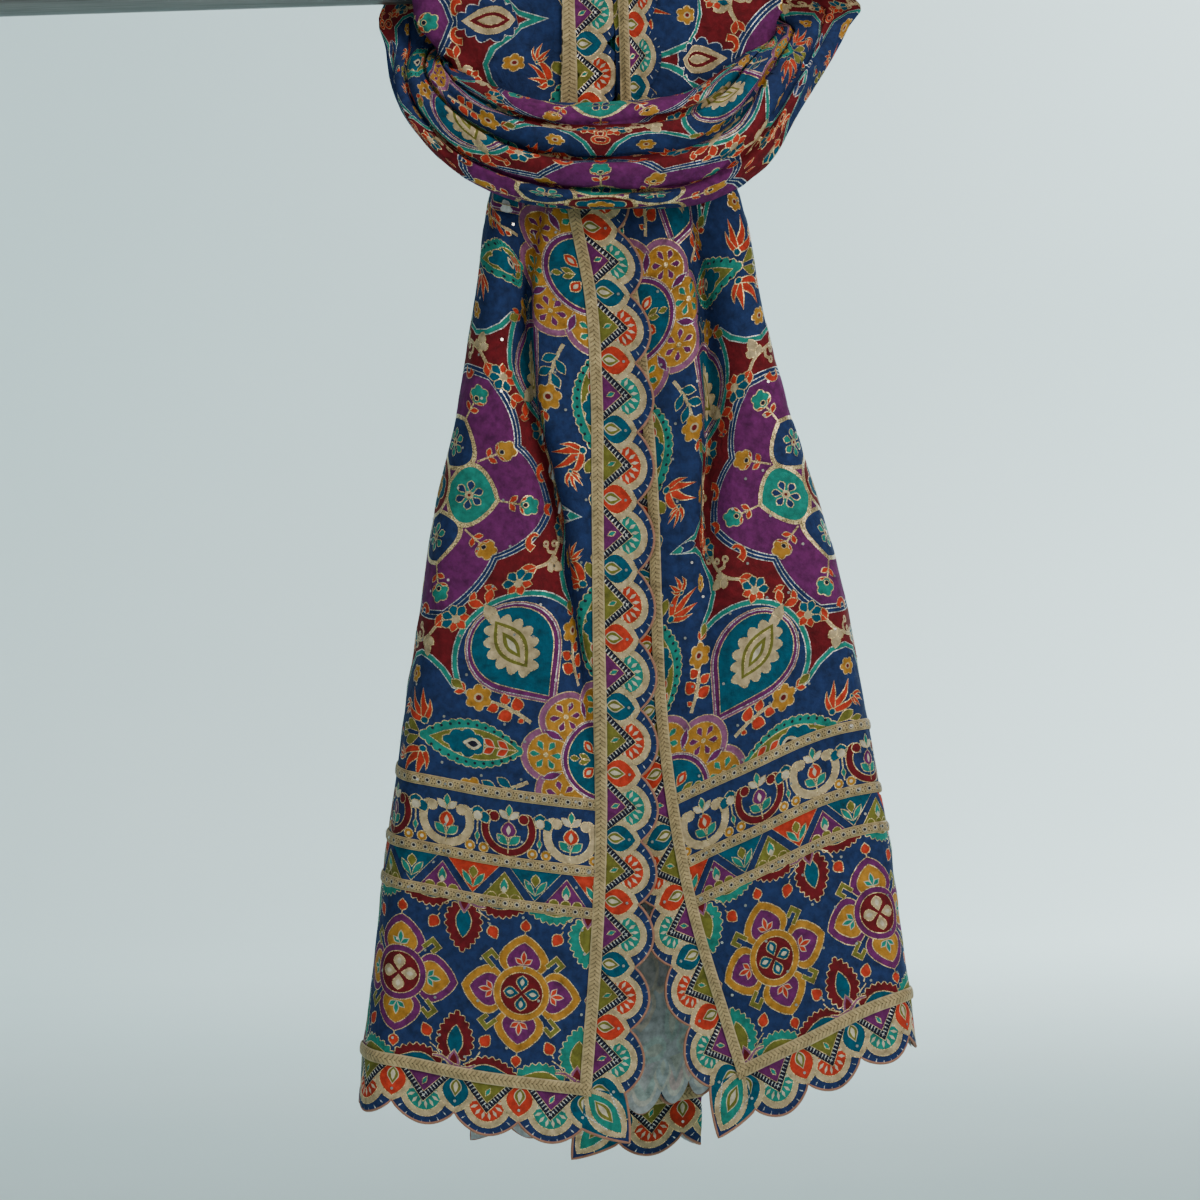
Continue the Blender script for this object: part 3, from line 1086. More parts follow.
panel_cell = [dyed_patch(panel_shapes(), PANEL_PITCH, PANEL_TOP - PANEL_LOW, 0.009)]
far_panel = [dyed_patch(unstitched(panel_shapes()), PANEL_PITCH, PANEL_TOP - PANEL_LOW, 0.009)]
for label, end in ends.items():
    patch = tiled(panel_cell, PANEL_PITCH, PANEL_TOP - PANEL_LOW, (0.0, PANEL_LOW),
                  (FIELD_EDGE, CLOTH_WIDTH - FIELD_EDGE), (FIELD_EDGE, PANEL_TOP), mirrored=False,
                  far_cell=far_panel)
    laid(end, f"{label}_panel_print", patch, printed_cloth,
                            [f"{label}_end_cloth"])

# ------------------------------------------------------- scalloped border
# A separate scalloped strip round each end, mitred at its corners, printed with
# fans and triangles and thick with silver stitches.  Its rim is piped.
CORNER_TIP, CORNER_CUSP = 0.007, 0.046
BORDER_PAIRS = 8             # pairs of scallops along the hem
PIPING_RADIUS, PIPING_STEP = 0.0012, SCALLOP_PITCH / 16


def grid_piece(name, points, finish, dye, around=False):
    """Mesh object over a grid of points; around joins its last column to its first."""
    rows, columns = points.shape[:2]
    j = np.arange(columns if around else columns - 1)
    i = np.arange(rows - 1)
    a, b = ((i[:, None] * columns + k).ravel() for k in (j, (j + 1) % columns))
    faces = np.stack([a, b, b + columns, a + columns], axis=1)
    across = np.stack([j, j + 1, j + 1, j], axis=1)[None].repeat(len(i), axis=0).reshape(-1, 4) / columns
    along = np.stack([i, i, i + 1, i + 1], axis=1).repeat(len(j), axis=0) / rows
    dyes = np.tile(DYES[dye] + (0.0,), (len(faces), 1))
    return dyed_mesh(name, points.reshape(-1, 3), faces, dyes, np.stack([across, along], axis=-1), finish)


def tube_rings(line, radius, sides):
    """Circles of points round a line, each in the plane across it."""
    way = np.gradient(line, axis=0)
    way /= np.linalg.norm(way, axis=1, keepdims=True)
    side = np.cross(way, (0.31, -0.93, 0.19))
    side /= np.linalg.norm(side, axis=1, keepdims=True)
    other = np.cross(way, side)
    angle = np.linspace(0, 2 * math.pi, sides, endpoint=False)
    return (line[:, None] + radius * (np.cos(angle)[None, :, None] * side[:, None]
                                      + np.sin(angle)[None, :, None] * other[:, None]))


FAN_FOOT = 0.0262              # depth of the middle of each fan
SHORT_STITCH = [petal("silver", 0.0042, 0.0013, points=3, thread=None)]


def border_unit():
    """Two scallops of the border: x runs along it, y from the tips inwards to the field."""
    shapes, middles = ["navy"], [(k + 0.5) * SCALLOP_PITCH for k in (0, 1)]
    for middle in middles:
        for turn in np.radians(np.linspace(-72, 252, 19)):
            shapes += moved(SHORT_STITCH, middle + 0.0204 * math.cos(turn),
                            FAN_FOOT - 0.0238 * math.sin(turn), -turn)
    for middle, fan in zip(middles, ("jade", "orange")):
        arc = circle(middle, FAN_FOOT, 1.0, 30)
        for radius, dye in ((0.0196, "beige"), (0.0152, fan)):
            ring = (arc - (middle, FAN_FOOT)) * (radius, radius * 1.06) + (middle, FAN_FOOT)
            shapes.append((ring, dye, "gold"))
        for turn in -np.radians(np.linspace(0, 180, 8)):
            shapes += moved([petal("pale", 0.0068, 0.0026, points=4, thread=None)],
                            middle + 0.0076 * math.cos(turn), FAN_FOOT + 0.008 * math.sin(turn), turn)
    for k, ground in enumerate(("teal", "orange", "teal")):
        bud_between = [petal("beige", 0.034, 0.03, 0.52, points=10, power=0.8),
                       petal(ground, 0.027, 0.022, 0.5, 0.003, points=9, power=0.8),
                       petal("olive", 0.014, 0.009, 0.45, 0.007, points=7, thread="pale"),
                       petal("pale", 0.009, 0.004, 0.45, 0.009, points=5, thread=None)]
        shapes += moved(bud_between, k * SCALLOP_PITCH, 0.047, -math.pi / 2)
    for middle, corner in zip(middles, ("purple", "olive")):
        shapes.append((wedge(middle, 0.0215, 0.0412, 0.0168), "ink", "gold"))
        for side in (1, -1):
            for t in np.linspace(0.1, 0.9, 9):
                shapes += moved([petal("silver", 0.0046, 0.0014, points=3, thread=None)],
                                middle + side * 0.0196 * (1 - t), 0.0402 - 0.0222 * t,
                                math.atan2(0.66, -side * 0.75))
        shapes.append((wedge(middle, 0.015, 0.0412, 0.025), corner, "gold"))
        shapes += moved(small_leaf("jade", 0.008, 0.0036), middle - 0.002, 0.0375, -1.1)
    return shapes


def corner_unit():
    """Corner of the border: a jade leaf that points outwards, between two half fans."""
    shapes = ["navy"]
    out = 1.25 * math.pi
    for x, y in ((0.046, 0.0262), (0.0262, 0.046)):
        shapes += [spot("beige", x, y, 0.0196, 26), spot("orange", x, y, 0.015, 24)]
    for turn, dye in ((0.5, "teal"), (-0.5, "teal"), (0, "beige")):
        shapes += moved([petal(dye, 0.049, 0.029, 0.52, points=12, power=0.8)], 0.0455, 0.0455, out + turn)
    shapes += moved([petal("jade", 0.041, 0.02, 0.5, 0.004, points=11, power=0.8),
                     petal("olive", 0.022, 0.01, 0.5, 0.012, points=7, thread="pale"),
                     petal("pale", 0.014, 0.0045, 0.5, 0.015, points=5, thread=None)], 0.0455, 0.0455, out)
    for t in np.linspace(0.0, 1.0, 8):
        for flip in (False, True):
            at = np.array([0.0455 - 0.018 * t, 0.0262 - 0.009 * t])
            shapes += moved(SHORT_STITCH, *(at[::-1] if flip else at), out)
    return shapes


def rim_depth(along):
    """Rim behind the scallop line: the corner leaf first, then the scallops."""
    t = np.clip((CORNER_CUSP - along) / (CORNER_CUSP - CORNER_TIP), 0, 1)
    corner = CORNER_TIP + (SCALLOP_DEPTH - CORNER_TIP) * (1 - np.sin(math.pi / 2 * t) ** 0.75)
    phase = np.mod(along - CORNER_CUSP, SCALLOP_PITCH) / SCALLOP_PITCH
    return np.where(along < CORNER_CUSP, corner, SCALLOP_DEPTH * (1 - np.sin(math.pi * phase) ** 0.75))


run = CORNER_CUSP + np.linspace(0, 2 * SCALLOP_PITCH, 41)
rim = np.stack([run - CORNER_CUSP, rim_depth(run)], axis=1)
rim[-1, 1] = rim[0, 1]
unit_edge = np.concatenate([[(2 * SCALLOP_PITCH, FIELD_EDGE), (0, FIELD_EDGE)], rim])
scallop_pair = dyed_patch(border_unit(), 2 * SCALLOP_PITCH, FIELD_EDGE, 0.007, unit_edge)
far_pair = dyed_patch(unstitched(border_unit()), 2 * SCALLOP_PITCH, FIELD_EDGE, 0.007, unit_edge)
run = np.linspace(CORNER_TIP, CORNER_CUSP, 11)
rim = np.stack([run, rim_depth(run)], axis=1)
corner_edge = np.concatenate([[(FIELD_EDGE, FIELD_EDGE), (FIELD_EDGE, CORNER_CUSP)], rim[::-1, ::-1],
                              rim[1:], [(CORNER_CUSP, FIELD_EDGE)]])
corner_leaf = dyed_patch(corner_unit(), CORNER_CUSP, CORNER_CUSP, 0.0065, corner_edge)


def border_run(count, as_placed, pair):
    """Copies of the pair of scallops in a row, each point (along, depth) carried by as_placed."""
    flat, faces, dyes = pair
    rows = []
    for k in range(count):
        along = CORNER_CUSP + 2 * SCALLOP_PITCH * k + flat[:, 0]
        rows.append((as_placed(along, flat[:, 1]), faces, dyes))
    return rows


def from_edge(depth, far):
    """Where across the cloth a depth from the near selvedge lies, or from the far one."""
    return CLOTH_WIDTH - depth if far else depth


def border_strip(near_pair, back_pair, tops):
    """The flat strip along the hem and up both selvedges to their tops, with a leaf at each corner."""
    def on_hem(along, depth):
        """Place of a point of the run along the hem: its last copy ends at the far corner."""
        return np.stack([np.minimum(along, CLOTH_WIDTH - CORNER_CUSP), depth], axis=1)

    def on_selvedge(along, depth):
        """Place of a point of the run up the near selvedge, or up the far one."""
        return np.stack([from_edge(depth, far), along], axis=1)

    patches = border_run(BORDER_PAIRS, on_hem, near_pair)
    for far, pair, top in zip((False, True), (near_pair, back_pair), tops):
        patches += border_run(math.ceil((top - CORNER_CUSP) / (2 * SCALLOP_PITCH)), on_selvedge, pair)
        leaf_points = corner_leaf[0]
        patches.append((np.stack([from_edge(leaf_points[:, 0], far), leaf_points[:, 1]], axis=1),
                        *corner_leaf[1:]))
    return joined(patches)


end_border, rim_piping = {}, {}
piping_cloth = dyed_cloth("piping_cloth", roughness=(0.7, 0.7), mottle=(0.7, 1.25))
for label, end in ends.items():
    tops = [float(end.length_at(np.array([u]), TAIL_TOP)[0]) for u in (0.02, CLOTH_WIDTH - 0.02)]
    end_border[label] = laid(end, f"{label}_border_print", border_strip(scallop_pair, far_pair, tops),
                             printed_cloth,
                             [f"{label}_{name}_border" for name in ("front", "back", "hem")])

    # The piping: a thin tube along the whole rim, up both selvedges and along the hem.
    near_up, far_up = (np.arange(CORNER_TIP, top, PIPING_STEP) for top in tops)
    hem = np.arange(CORNER_TIP, CLOTH_WIDTH / 2, PIPING_STEP)
    hem = np.concatenate([hem, CLOTH_WIDTH - hem[::-1]])
    u = np.concatenate([rim_depth(near_up)[::-1], hem[1:-1], CLOTH_WIDTH - rim_depth(far_up)])
    v = np.concatenate([near_up[::-1], rim_depth(np.minimum(hem, CLOTH_WIDTH - hem))[1:-1], far_up])
    rings = tube_rings(end.place(u, v), PIPING_RADIUS, 6)
    rim_piping[label] = dress(grid_piece(f"{label}_rim_piping", rings, piping_cloth, "piping", around=True))

# ------------------------------------------------- braids and cross tapes
# Gold braid sewn over the seam between field and border, and three gold tapes with
# a row of eyelets across each end.  All are stitched on flat.
BRAID_UNIT, TAPE_UNIT = 0.0072, 0.0094


def braid_shapes():
    """Plaited gold cord between two paler edges, with small gaps: x along it, y across."""
    shapes = ["gold", box("braid", (0, 0.03), (0, 0.001)), box("braid", (0, 0.03), (0.009, 0.01))]
    for x in (0.0, 0.0036, 0.0072):
        for low, high, lean in ((0.0012, 0.0048, 0.0022), (0.0052, 0.0088, -0.0022)):
            stitch = np.array([(-0.0006, low), (0.0006, low), (0.0006 + lean, high),
                               (-0.0006 + lean, high)])
            shapes.append((stitch + (x - lean / 2, 0), "olive_gold", None))
    return shapes + [spot("bronze", x, 0.005, 0.0007, 5, thread=None) for x in (0.0018, 0.0054)]


def tape_shapes():
    """Gold tape with bead ridges and one eyelet: x along it, y across."""
    shapes = ["gold", box("olive_gold", (0, 0.03), (0.0008, 0.0014)),
              box("olive_gold", (0, 0.03), (0.0076, 0.0082))]
    shapes += [spot("bronze", x, y, 0.0008, 5, thread=None)
               for x, y in ((0.001, 0.0024), (0.0084, 0.0062), (0.0012, 0.0066), (0.008, 0.0026),
                            (0.0002, 0.0045))]
    return shapes + [spot("pale", 0.0047, 0.0045, 0.0025, 10, thread="olive_gold"),
                     spot("ink", 0.0047, 0.0045, 0.0013, 8, thread=None)]


braid_cell = [dyed_patch(braid_shapes(), BRAID_UNIT, BRAID_WIDTH, 0.0025)]
tape_cell = [dyed_patch(tape_shapes(), TAPE_UNIT, TAPE_WIDTH, 0.003)]
braid_thread = dyed_cloth("braid_thread", roughness=(0.6, 0.38), weave=(1400, 0.9, 0.001),
                          mottle=(0.5, 1.45), pucker=0.001)
BRAID_LIFT, BRAID_CROWN = 0.0009, 0.0011


def crowned(across, width):
    """Height of a strip's face above the cloth: flat at its edges, crowned in its middle."""
    return FACE_LIFT + BRAID_LIFT + BRAID_CROWN * np.sqrt(np.clip(1 - (2 * across / width) ** 2, 0, 1))


end_trims = {label: [] for label in ends}
for label, end in ends.items():
    inner = BORDER + BRAID_WIDTH

    def trim(name, patch, height, node_name):
        """One strip of gold thread on this end, in place of the solid strip of that name."""
        end_trims[label].append(laid(end, f"{label}_{name}", patch, braid_thread,
                                     [f"{label}_{node_name}"], height))

    for name, far in (("front", False), ("back", True)):
        flat, faces, dyes = tiled(braid_cell, BRAID_UNIT, BRAID_WIDTH, (FIELD_EDGE, FIELD_EDGE),
                                  (FIELD_EDGE, 0.9), (FIELD_EDGE, FIELD_EDGE + BRAID_WIDTH), mirrored=False)
        flat = np.stack([from_edge(flat[:, 1], far), flat[:, 0]], axis=1)
        trim(f"{name}_braid_thread", (flat, faces, dyes),
             lambda u, v: crowned(u - from_edge(BRAID_LINE, far), BRAID_WIDTH), f"{name}_braid")
    trim("hem_braid_thread", tiled(braid_cell, BRAID_UNIT, BRAID_WIDTH, (FIELD_EDGE, FIELD_EDGE),
                                   (FIELD_EDGE, CLOTH_WIDTH - FIELD_EDGE),
                                   (FIELD_EDGE, FIELD_EDGE + BRAID_WIDTH), mirrored=False),
         lambda u, v: crowned(v - BRAID_LINE, BRAID_WIDTH) + 0.0002, "hem_braid")
    for number, height in enumerate(TAPE_HEIGHTS, start=1):
        low, high = height - TAPE_WIDTH / 2, height + TAPE_WIDTH / 2
        trim(f"tape_{number}", tiled(tape_cell, TAPE_UNIT, TAPE_WIDTH, (inner, low),
                                     (inner, CLOTH_WIDTH - inner), (low, high), mirrored=False),
             lambda u, v: crowned(v - height, TAPE_WIDTH) - 0.0004, f"cross_tape_{number}")

# ------------------------------------------------------------ wrong side
# The inside of the same cloth, off-white, where the larger motifs of the panel and
# the border show through, pale, and the field is blotched.
SOAKED_THROUGH, INSIDE_GAP = 0.36, 0.0026
FAINT_STEP, FAINT_COLUMNS, FAINT_ROWS, FAINT_TOP = 0.0135, 160, 25, 0.85


def faded(patch):
    """The same flat mesh with its dyes mixed into the cloth's own off-white."""
    flat, faces, dyes = patch
    pale = SOAKED_THROUGH * dyes[:, :3] + (1 - SOAKED_THROUGH) * np.array(DYES["wrong"])
    return flat, faces, np.concatenate([pale, np.zeros((len(dyes), 1))], axis=1)


faint_panel = [dyed_patch(unstitched(panel_shapes(), 0.024), PANEL_PITCH, PANEL_TOP - PANEL_LOW, FAINT_STEP,
                          slack=0.001)]
faint_pair = dyed_patch(unstitched(border_unit(), 0.013), 2 * SCALLOP_PITCH, FIELD_EDGE, FAINT_STEP,
                        unit_edge, 0.0006)
for label, end in ends.items():
    sides = (FIELD_EDGE, CLOTH_WIDTH - FIELD_EDGE)
    u, v = np.meshgrid(np.linspace(*sides, FAINT_COLUMNS), np.linspace(PANEL_TOP, 0.9, FAINT_ROWS))
    corner = (np.arange(FAINT_ROWS - 1)[:, None] * FAINT_COLUMNS + np.arange(FAINT_COLUMNS - 1)).ravel()
    above = corner + FAINT_COLUMNS
    faces = np.concatenate([np.stack([corner, corner + 1, above], axis=1),
                            np.stack([corner + 1, above + 1, above], axis=1)])
    mixed = (faces[:, 0] // 5 * 7 + faces[:, 0] // (4 * FAINT_COLUMNS) * 5) % 4
    blots = np.array([DYES[dye] for dye in ("teal", "beige", "wrong", "mauve")])[mixed]
    plain = (np.stack([u.ravel(), v.ravel()], axis=1), faces, np.concatenate([blots, blots[:, :1]], axis=1))
    hem = tiled(faint_panel, PANEL_PITCH, PANEL_TOP - PANEL_LOW, (0.0, PANEL_LOW), sides,
                (FIELD_EDGE, PANEL_TOP), mirrored=False)
    strip = border_strip(faint_pair, faint_pair, (FAINT_TOP, FAINT_TOP))
    laid(end, f"{label}_wrong_side", faded(joined([plain, hem, strip])), printed_cloth,
                             height=lambda u, v: -FACE_LIFT - INSIDE_GAP, inside=True)

# ---------------------------------------------------------------- sequins
# Small silver discs, sewn flat: a loose scatter over field and panel, a row on each
# tape, and one in the border at every scallop.
SEQUIN_RADIUS, SEQUIN_SIDES, SEQUIN_PITCH = 0.0012, 7, 0.036


def discs(name, centre, out, finish):
    """One mesh of flat discs, each turned to face its own way."""
    lean = np.cross(out, (0.2, 0.3, 0.9))
    lean /= np.linalg.norm(lean, axis=1, keepdims=True)
    angle = np.linspace(0, 2 * math.pi, SEQUIN_SIDES, endpoint=False)
    rims = centre[:, None] + SEQUIN_RADIUS * (np.cos(angle)[None, :, None] * lean[:, None]
                                              + np.sin(angle)[None, :, None] * np.cross(out, lean)[:, None])
    mesh = bpy.data.meshes.new(name)
    mesh.from_pydata(rims.reshape(-1, 3).tolist(), [],
                     np.arange(len(centre) * SEQUIN_SIDES).reshape(-1, SEQUIN_SIDES).tolist())
    mesh.uv_layers.new(name="OFBake").data.foreach_set(
        "uv", np.tile(0.5 + 0.5 * np.stack([np.cos(angle), np.sin(angle)], axis=1),
                      (len(centre), 1)).astype(np.float32).ravel())
    return shown(mesh, finish)


sequin_foil = mottled("sequin_silver", (0.34, 0.32, 0.27), (0.95, 0.92, 0.85), scale=130,
                      metallic=0.95, roughness=0.22)
chance = np.random.default_rng(7)
for label, end in ends.items():
    u, v = (grid.ravel() for grid in np.meshgrid(np.arange(0.065, 0.86, SEQUIN_PITCH),
                                                 np.arange(0.07, 0.74, SEQUIN_PITCH)))
    u, v = u + chance.uniform(-0.013, 0.013, len(u)), v + chance.uniform(-0.013, 0.013, len(v))
    up, along = (CORNER_CUSP + SCALLOP_PITCH * np.arange(count) for count in (14, 17))
    u = np.concatenate([u, np.full(len(up), 0.0225), along])
    v = np.concatenate([v, up, np.full(len(along), 0.0225)])
    off_tape = np.abs(v[:, None] - np.array(TAPE_HEIGHTS)).min(axis=1) > 0.007
    kept = (v < end.length_at(u, TAIL_TOP) - 0.004) & off_tape
    u, v, lift = u[kept], v[kept], np.full(kept.sum(), FACE_LIFT + 0.0006)
    for height in TAPE_HEIGHTS:
        along = np.arange(0.07, 0.86, 0.047)
        u = np.concatenate([u, along + chance.uniform(-0.018, 0.018, len(along))])
        v = np.concatenate([v, height + chance.uniform(-0.001, 0.001, len(along))])
        lift = np.concatenate([lift, np.full(len(along), FACE_LIFT + BRAID_LIFT + BRAID_CROWN + 0.0004)])
    here = end.place(u, v, lift)
    end_trims[label].append(dress(discs(f"{label}_sequins", here, unit(here - end.place(u, v)),
                                        sequin_foil)))

# What each piece of cloth measures when it lies flat, and what hangs it.
for label in ends:
    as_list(end_trims[label])

# --------------------------------------------------- stretches over the rod
# The same two widths of cloth go on up behind the band, over the rod and down
# its back, gathered into shallow pleats.  Border and braid run on up with them.
LEFT_OVER = table(
    "y z outer inner half",
    (-0.013, -0.1494, -0.096, 0.0018, 0.02), (-0.018, -0.12, -0.1, 0.0018, 0.0145),
    (-0.0205, -0.088, -0.11, 0.0018, 0.0115), (-0.022, -0.055, -0.13, 0.0018, 0.009),
    (-0.0217, -0.02, -0.158, 0.0018, 0.0077))
RIGHT_OVER = table(
    "y z outer inner half",
    (-0.013, -0.1494, 0.093, 0.0022, 0.02), (-0.018, -0.12, 0.094, 0.0022, 0.0145),
    (-0.0205, -0.088, 0.102, 0.0022, 0.0115), (-0.022, -0.055, 0.116, 0.0022, 0.009),
    (-0.0217, -0.02, 0.138, 0.0022, 0.0077))
ROD_RADIUS = 0.0125
OVER_HALF = 0.0077
OVER_RADIUS = ROD_RADIUS + 0.0012 + OVER_HALF
OVER_ANGLES = (160, 130, 100, 70, 40, 12, -2)
OVER_CORNER = 0.62           # 1 is an ellipse, less is squarer
# The loop: a row for each station from the back of the rod on the left, round
# under the rod to the band in front, and back up on the right.  x, y, z = its
# middle, bx, by, bz = the way its width runs, half_width, half_depth.
LOOP = table(
    "x y z bx by bz half_width half_depth",
    (-0.105, 0.0212, -0.0016, 1.0, 0.0, 0.0, 0.072, 0.0075),
    (-0.13, 0.022, -0.023, 1.0, 0.1, 0.0, 0.056, 0.0095),
    (-0.148, 0.013, -0.047, 0.85, 0.45, 0.0, 0.036, 0.0125),
    (-0.152, -0.011, -0.072, 0.8, 0.3, 0.25, 0.027, 0.015),
    (-0.137, -0.045, -0.098, 0.75, 0.1, 0.6, 0.03, 0.017),
    (-0.104, -0.065, -0.124, 0.46, 0.0, 0.87, 0.037, 0.021),
    (-0.058, -0.073, -0.141, 0.16, 0.0, 0.98, 0.041, 0.024),
    (0.0, -0.076, -0.146, 0.0, 0.0, 1.0, 0.042, 0.025),
    (0.056, -0.074, -0.142, -0.14, 0.0, 0.98, 0.043, 0.024),
    (0.095, -0.065, -0.122, -0.46, 0.0, 0.87, 0.041, 0.0215),
    (0.121, -0.047, -0.092, -0.75, 0.1, 0.6, 0.032, 0.018),
    (0.146, -0.01, -0.064, -0.8, 0.3, 0.25, 0.029, 0.016),
    (0.153, 0.013, -0.043, -0.85, 0.45, 0.0, 0.04, 0.013),
    (0.132, 0.022, -0.023, -1.0, 0.1, 0.0, 0.068, 0.0095),
    (0.1, 0.0212, -0.0016, -1.0, 0.0, 0.0, 0.074, 0.0075))
LOOP_STATIONS = 43           # 3 to a row of the table
LOOP_CUTS = (12, 30)         # stations where the legs are parted from the band
RING_POINTS = 24
# Outline of the rolled cloth of the loop: across runs from -1 to 1 of the half
# width, out is a share of the half depth where the rolls are full.
ROLLS = table(
    "across out",
    (-1.0, 0.0), (-0.95, 0.46), (-0.82, 0.74), (-0.68, 0.72), (-0.59, 0.46), (-0.5, 0.76),
    (-0.28, 1.0), (-0.04, 0.92), (0.06, 0.58), (0.16, 0.88), (0.36, 0.98), (0.54, 0.82), (0.62, 0.5),
    (0.72, 0.72), (0.9, 0.52), (1.0, 0.0), (0.86, -0.5), (0.64, -0.74), (0.38, -0.92), (0.12, -1.0),
    (-0.16, -1.0), (-0.42, -0.9), (-0.68, -0.72), (-0.88, -0.46))
ROLL_DRIFT = 0.1            # the grooves wander this share of the half width


def spline(rows, share):
    """Smooth values through rows of numbers, share from 0 to 1 along them."""
    return smooth_through(rows, np.clip(share, 0, 1) * (len(rows) - 1))


def roll_ring(half_width, half_depth, full, drift):
    """Outline of the rolled cloth: flat at the rod, full rolls on the band."""
    across = np.array([row["across"] for row in ROLLS])
    out = np.array([row["out"] for row in ROLLS])
    plain = np.sign(out) * (1 - np.abs(across) ** 2.4) ** 0.6
    across = across + drift * (1 - across**2)
    return half_width * across, half_depth * (plain + (out - plain) * full)


def loop_rings():
    """Ring of points at every station of the loop, left leg to right leg."""
    values = spline([list(row.values()) for row in LOOP], np.linspace(0, 1, LOOP_STATIONS))
    centre, width_way = values[:, :3], unit(values[:, 3:6])
    travel = np.gradient(centre, axis=0)
    travel = unit(travel - (travel * width_way).sum(axis=1, keepdims=True) * width_way)
    out = np.cross(travel, width_way)
    rings = []
    for k in range(LOOP_STATIONS):
        share = k / (LOOP_STATIONS - 1)
        drift = ROLL_DRIFT * math.sin(2 * math.pi * (1.4 * share + 0.1))
        across, depth = roll_ring(values[k, 6], values[k, 7], math.sin(math.pi * share), drift)
        rings.append(centre[k] + width_way[k] * across[:, None] + out[k] * depth[:, None])
    return np.array(rings)


MIDDLE_ROW = 1.295             # length up the cloth to the middle of the whole stole
GRID_FINE, RING_FINE = 4, 8


class Bundle:
    """Gathered cloth round a line of rings: t counts the points of a ring, s is the length along it.

    A smooth closed curve goes through each ring and a smooth one through the rings'
    like points; soft folds then move the surface in and out along its normal.
    """

    def __init__(self, rings, face, folds):
        """Fills a fine grid from the rings, measured along the line through their point face."""
        rings = np.asarray(rings, float)
        count, size = rings.shape[:2]
        fine = spline(rings.reshape(count, -1),
                      np.linspace(0, 1, (count - 1) * GRID_FINE + 1)).reshape(-1, size, 3)
        turned = np.concatenate([fine[:, -2:], fine, fine[:, :3]],
                                axis=1).transpose(1, 0, 2).reshape(size + 5, -1)
        share = (np.arange(size * RING_FINE + 1) / RING_FINE + 2) / (size + 4)
        self.grid = spline(turned, share).reshape(len(share), len(fine), 3).transpose(1, 0, 2)
        line = self.grid[:, int(face * RING_FINE)]
        self.arc = np.concatenate([[0], np.cumsum(np.linalg.norm(np.diff(line, axis=0), axis=1))])
        self.size, self.folds = size, folds
        middle = len(self.grid) // 2
        out = np.cross(self.grid[middle, int(face * RING_FINE) + 1] - line[middle],
                       line[middle + 1] - line[middle])
        self.side = 1 if out @ (line[middle] - self.grid[middle].mean(axis=0)) > 0 else -1

    def bare(self, t, s):
        """Place on the smooth form, between the grid's points."""
        return between(self.grid, np.interp(s, self.arc, np.arange(len(self.arc))),
                       np.mod(t, self.size) * RING_FINE)

    def place(self, t, s, lift=0.0):
        """Point on the folded cloth, lift above it: t in points of the ring."""
        t, s = np.asarray(t, float), np.clip(s, 0, self.arc[-1])
        inner = np.clip(s, 0.002, self.arc[-1] - 0.002)
        out = unit(self.side * np.cross(self.bare(t + 0.16, inner) - self.bare(t - 0.16, inner),
                                        self.bare(t, inner + 0.002) - self.bare(t, inner - 0.002)))
        return self.bare(t, s) + out * (self.folds(t, s) + lift)[:, None]


LEG_TUCK, INNER_TUCK = 0.011, 0.004    # how far a stretch's outer and inner folds go under their neighbours


def over_rings(table, side):
    """The part's own rings over the rod, without its pleats: they come from the folds."""
    rows = [[row[column] for column in ("y", "z", "outer", "inner", "half")] for row in table]
    last = rows[-1]
    for angle, t in zip(OVER_ANGLES, np.linspace(0, 1, len(OVER_ANGLES))):
        turn = math.radians(angle)
        rows.append([OVER_RADIUS * math.cos(turn), OVER_RADIUS * math.sin(turn),
                     last[2] + side * 0.014 * t, last[3] + side * 0.028 * t, OVER_HALF])
    values = np.array(rows)
    values[:, 2] += side * LEG_TUCK * np.exp(-((values[:, 1] + 0.058) / 0.026) ** 2)
    values[:, 3] -= side * INNER_TUCK * np.exp(-((values[:, 1] + 0.035) / 0.035) ** 2)
    travel = unit(np.gradient(values[:, :2], axis=0))
    travel[0], travel[-1] = (0.0, 1.0), (0.0, -1.0)
    out = np.stack([-travel[:, 1], travel[:, 0]], axis=1)
    angle = np.linspace(0, 2 * math.pi, RING_POINTS, endpoint=False)
    share, thick = (np.sign(wave) * np.abs(wave) ** OVER_CORNER for wave in (np.cos(angle), np.sin(angle)))
    return np.stack([np.stack([(outer + inner) / 2 + (outer - inner) / 2 * share, y + way[0] * half * thick,
                               z + way[1] * half * thick], axis=1)
                     for (y, z, outer, inner, half), way in zip(values, out)]), values


class Stretch:
    """Lays cloth on one stretch over the rod: x across it, v along it."""

    def __init__(self, table, side, zero, phase):
        """Takes the part's rings over the rod; zero is the cloth's length at their start."""
        rings, values = over_rings(table, side)

        def folds(t, s):
            """Depth of two slanting sets of waves on the front half of the rings."""
            front = np.sin(np.clip(t, 0, 12) / 12 * math.pi) ** 0.7
            return front * (0.0011 * np.sin(2.6 * t + 9 * s + phase)
                            + 0.0007 * np.sin(4.7 * t - 14 * s + 2 * phase) - 0.0006)

        self.bundle, self.zero = Bundle(rings, 6, folds), zero
        at = np.arange(len(self.bundle.grid)) / GRID_FINE
        self.rows = [np.interp(at, np.arange(len(values)), values[:, column]) for column in (2, 3)]

    def round_ring(self, x, v):
        """Cloth at x on the front: its place round the ring, folded back past the two edges."""
        s = np.clip(v - self.zero, 0, self.bundle.arc[-1])
        outer, inner = (np.interp(s, self.bundle.arc, row) for row in self.rows)
        share = (x - (outer + inner) / 2) / ((outer - inner) / 2)
        past = np.abs(share) > 1
        share = np.clip(np.where(past, np.sign(share) * 2 - share, share), -1, 1)
        t = np.arccos(np.sign(share) * np.abs(share) ** (1 / OVER_CORNER)) / (2 * math.pi) * RING_POINTS
        return np.where(past, RING_POINTS - t, t), s


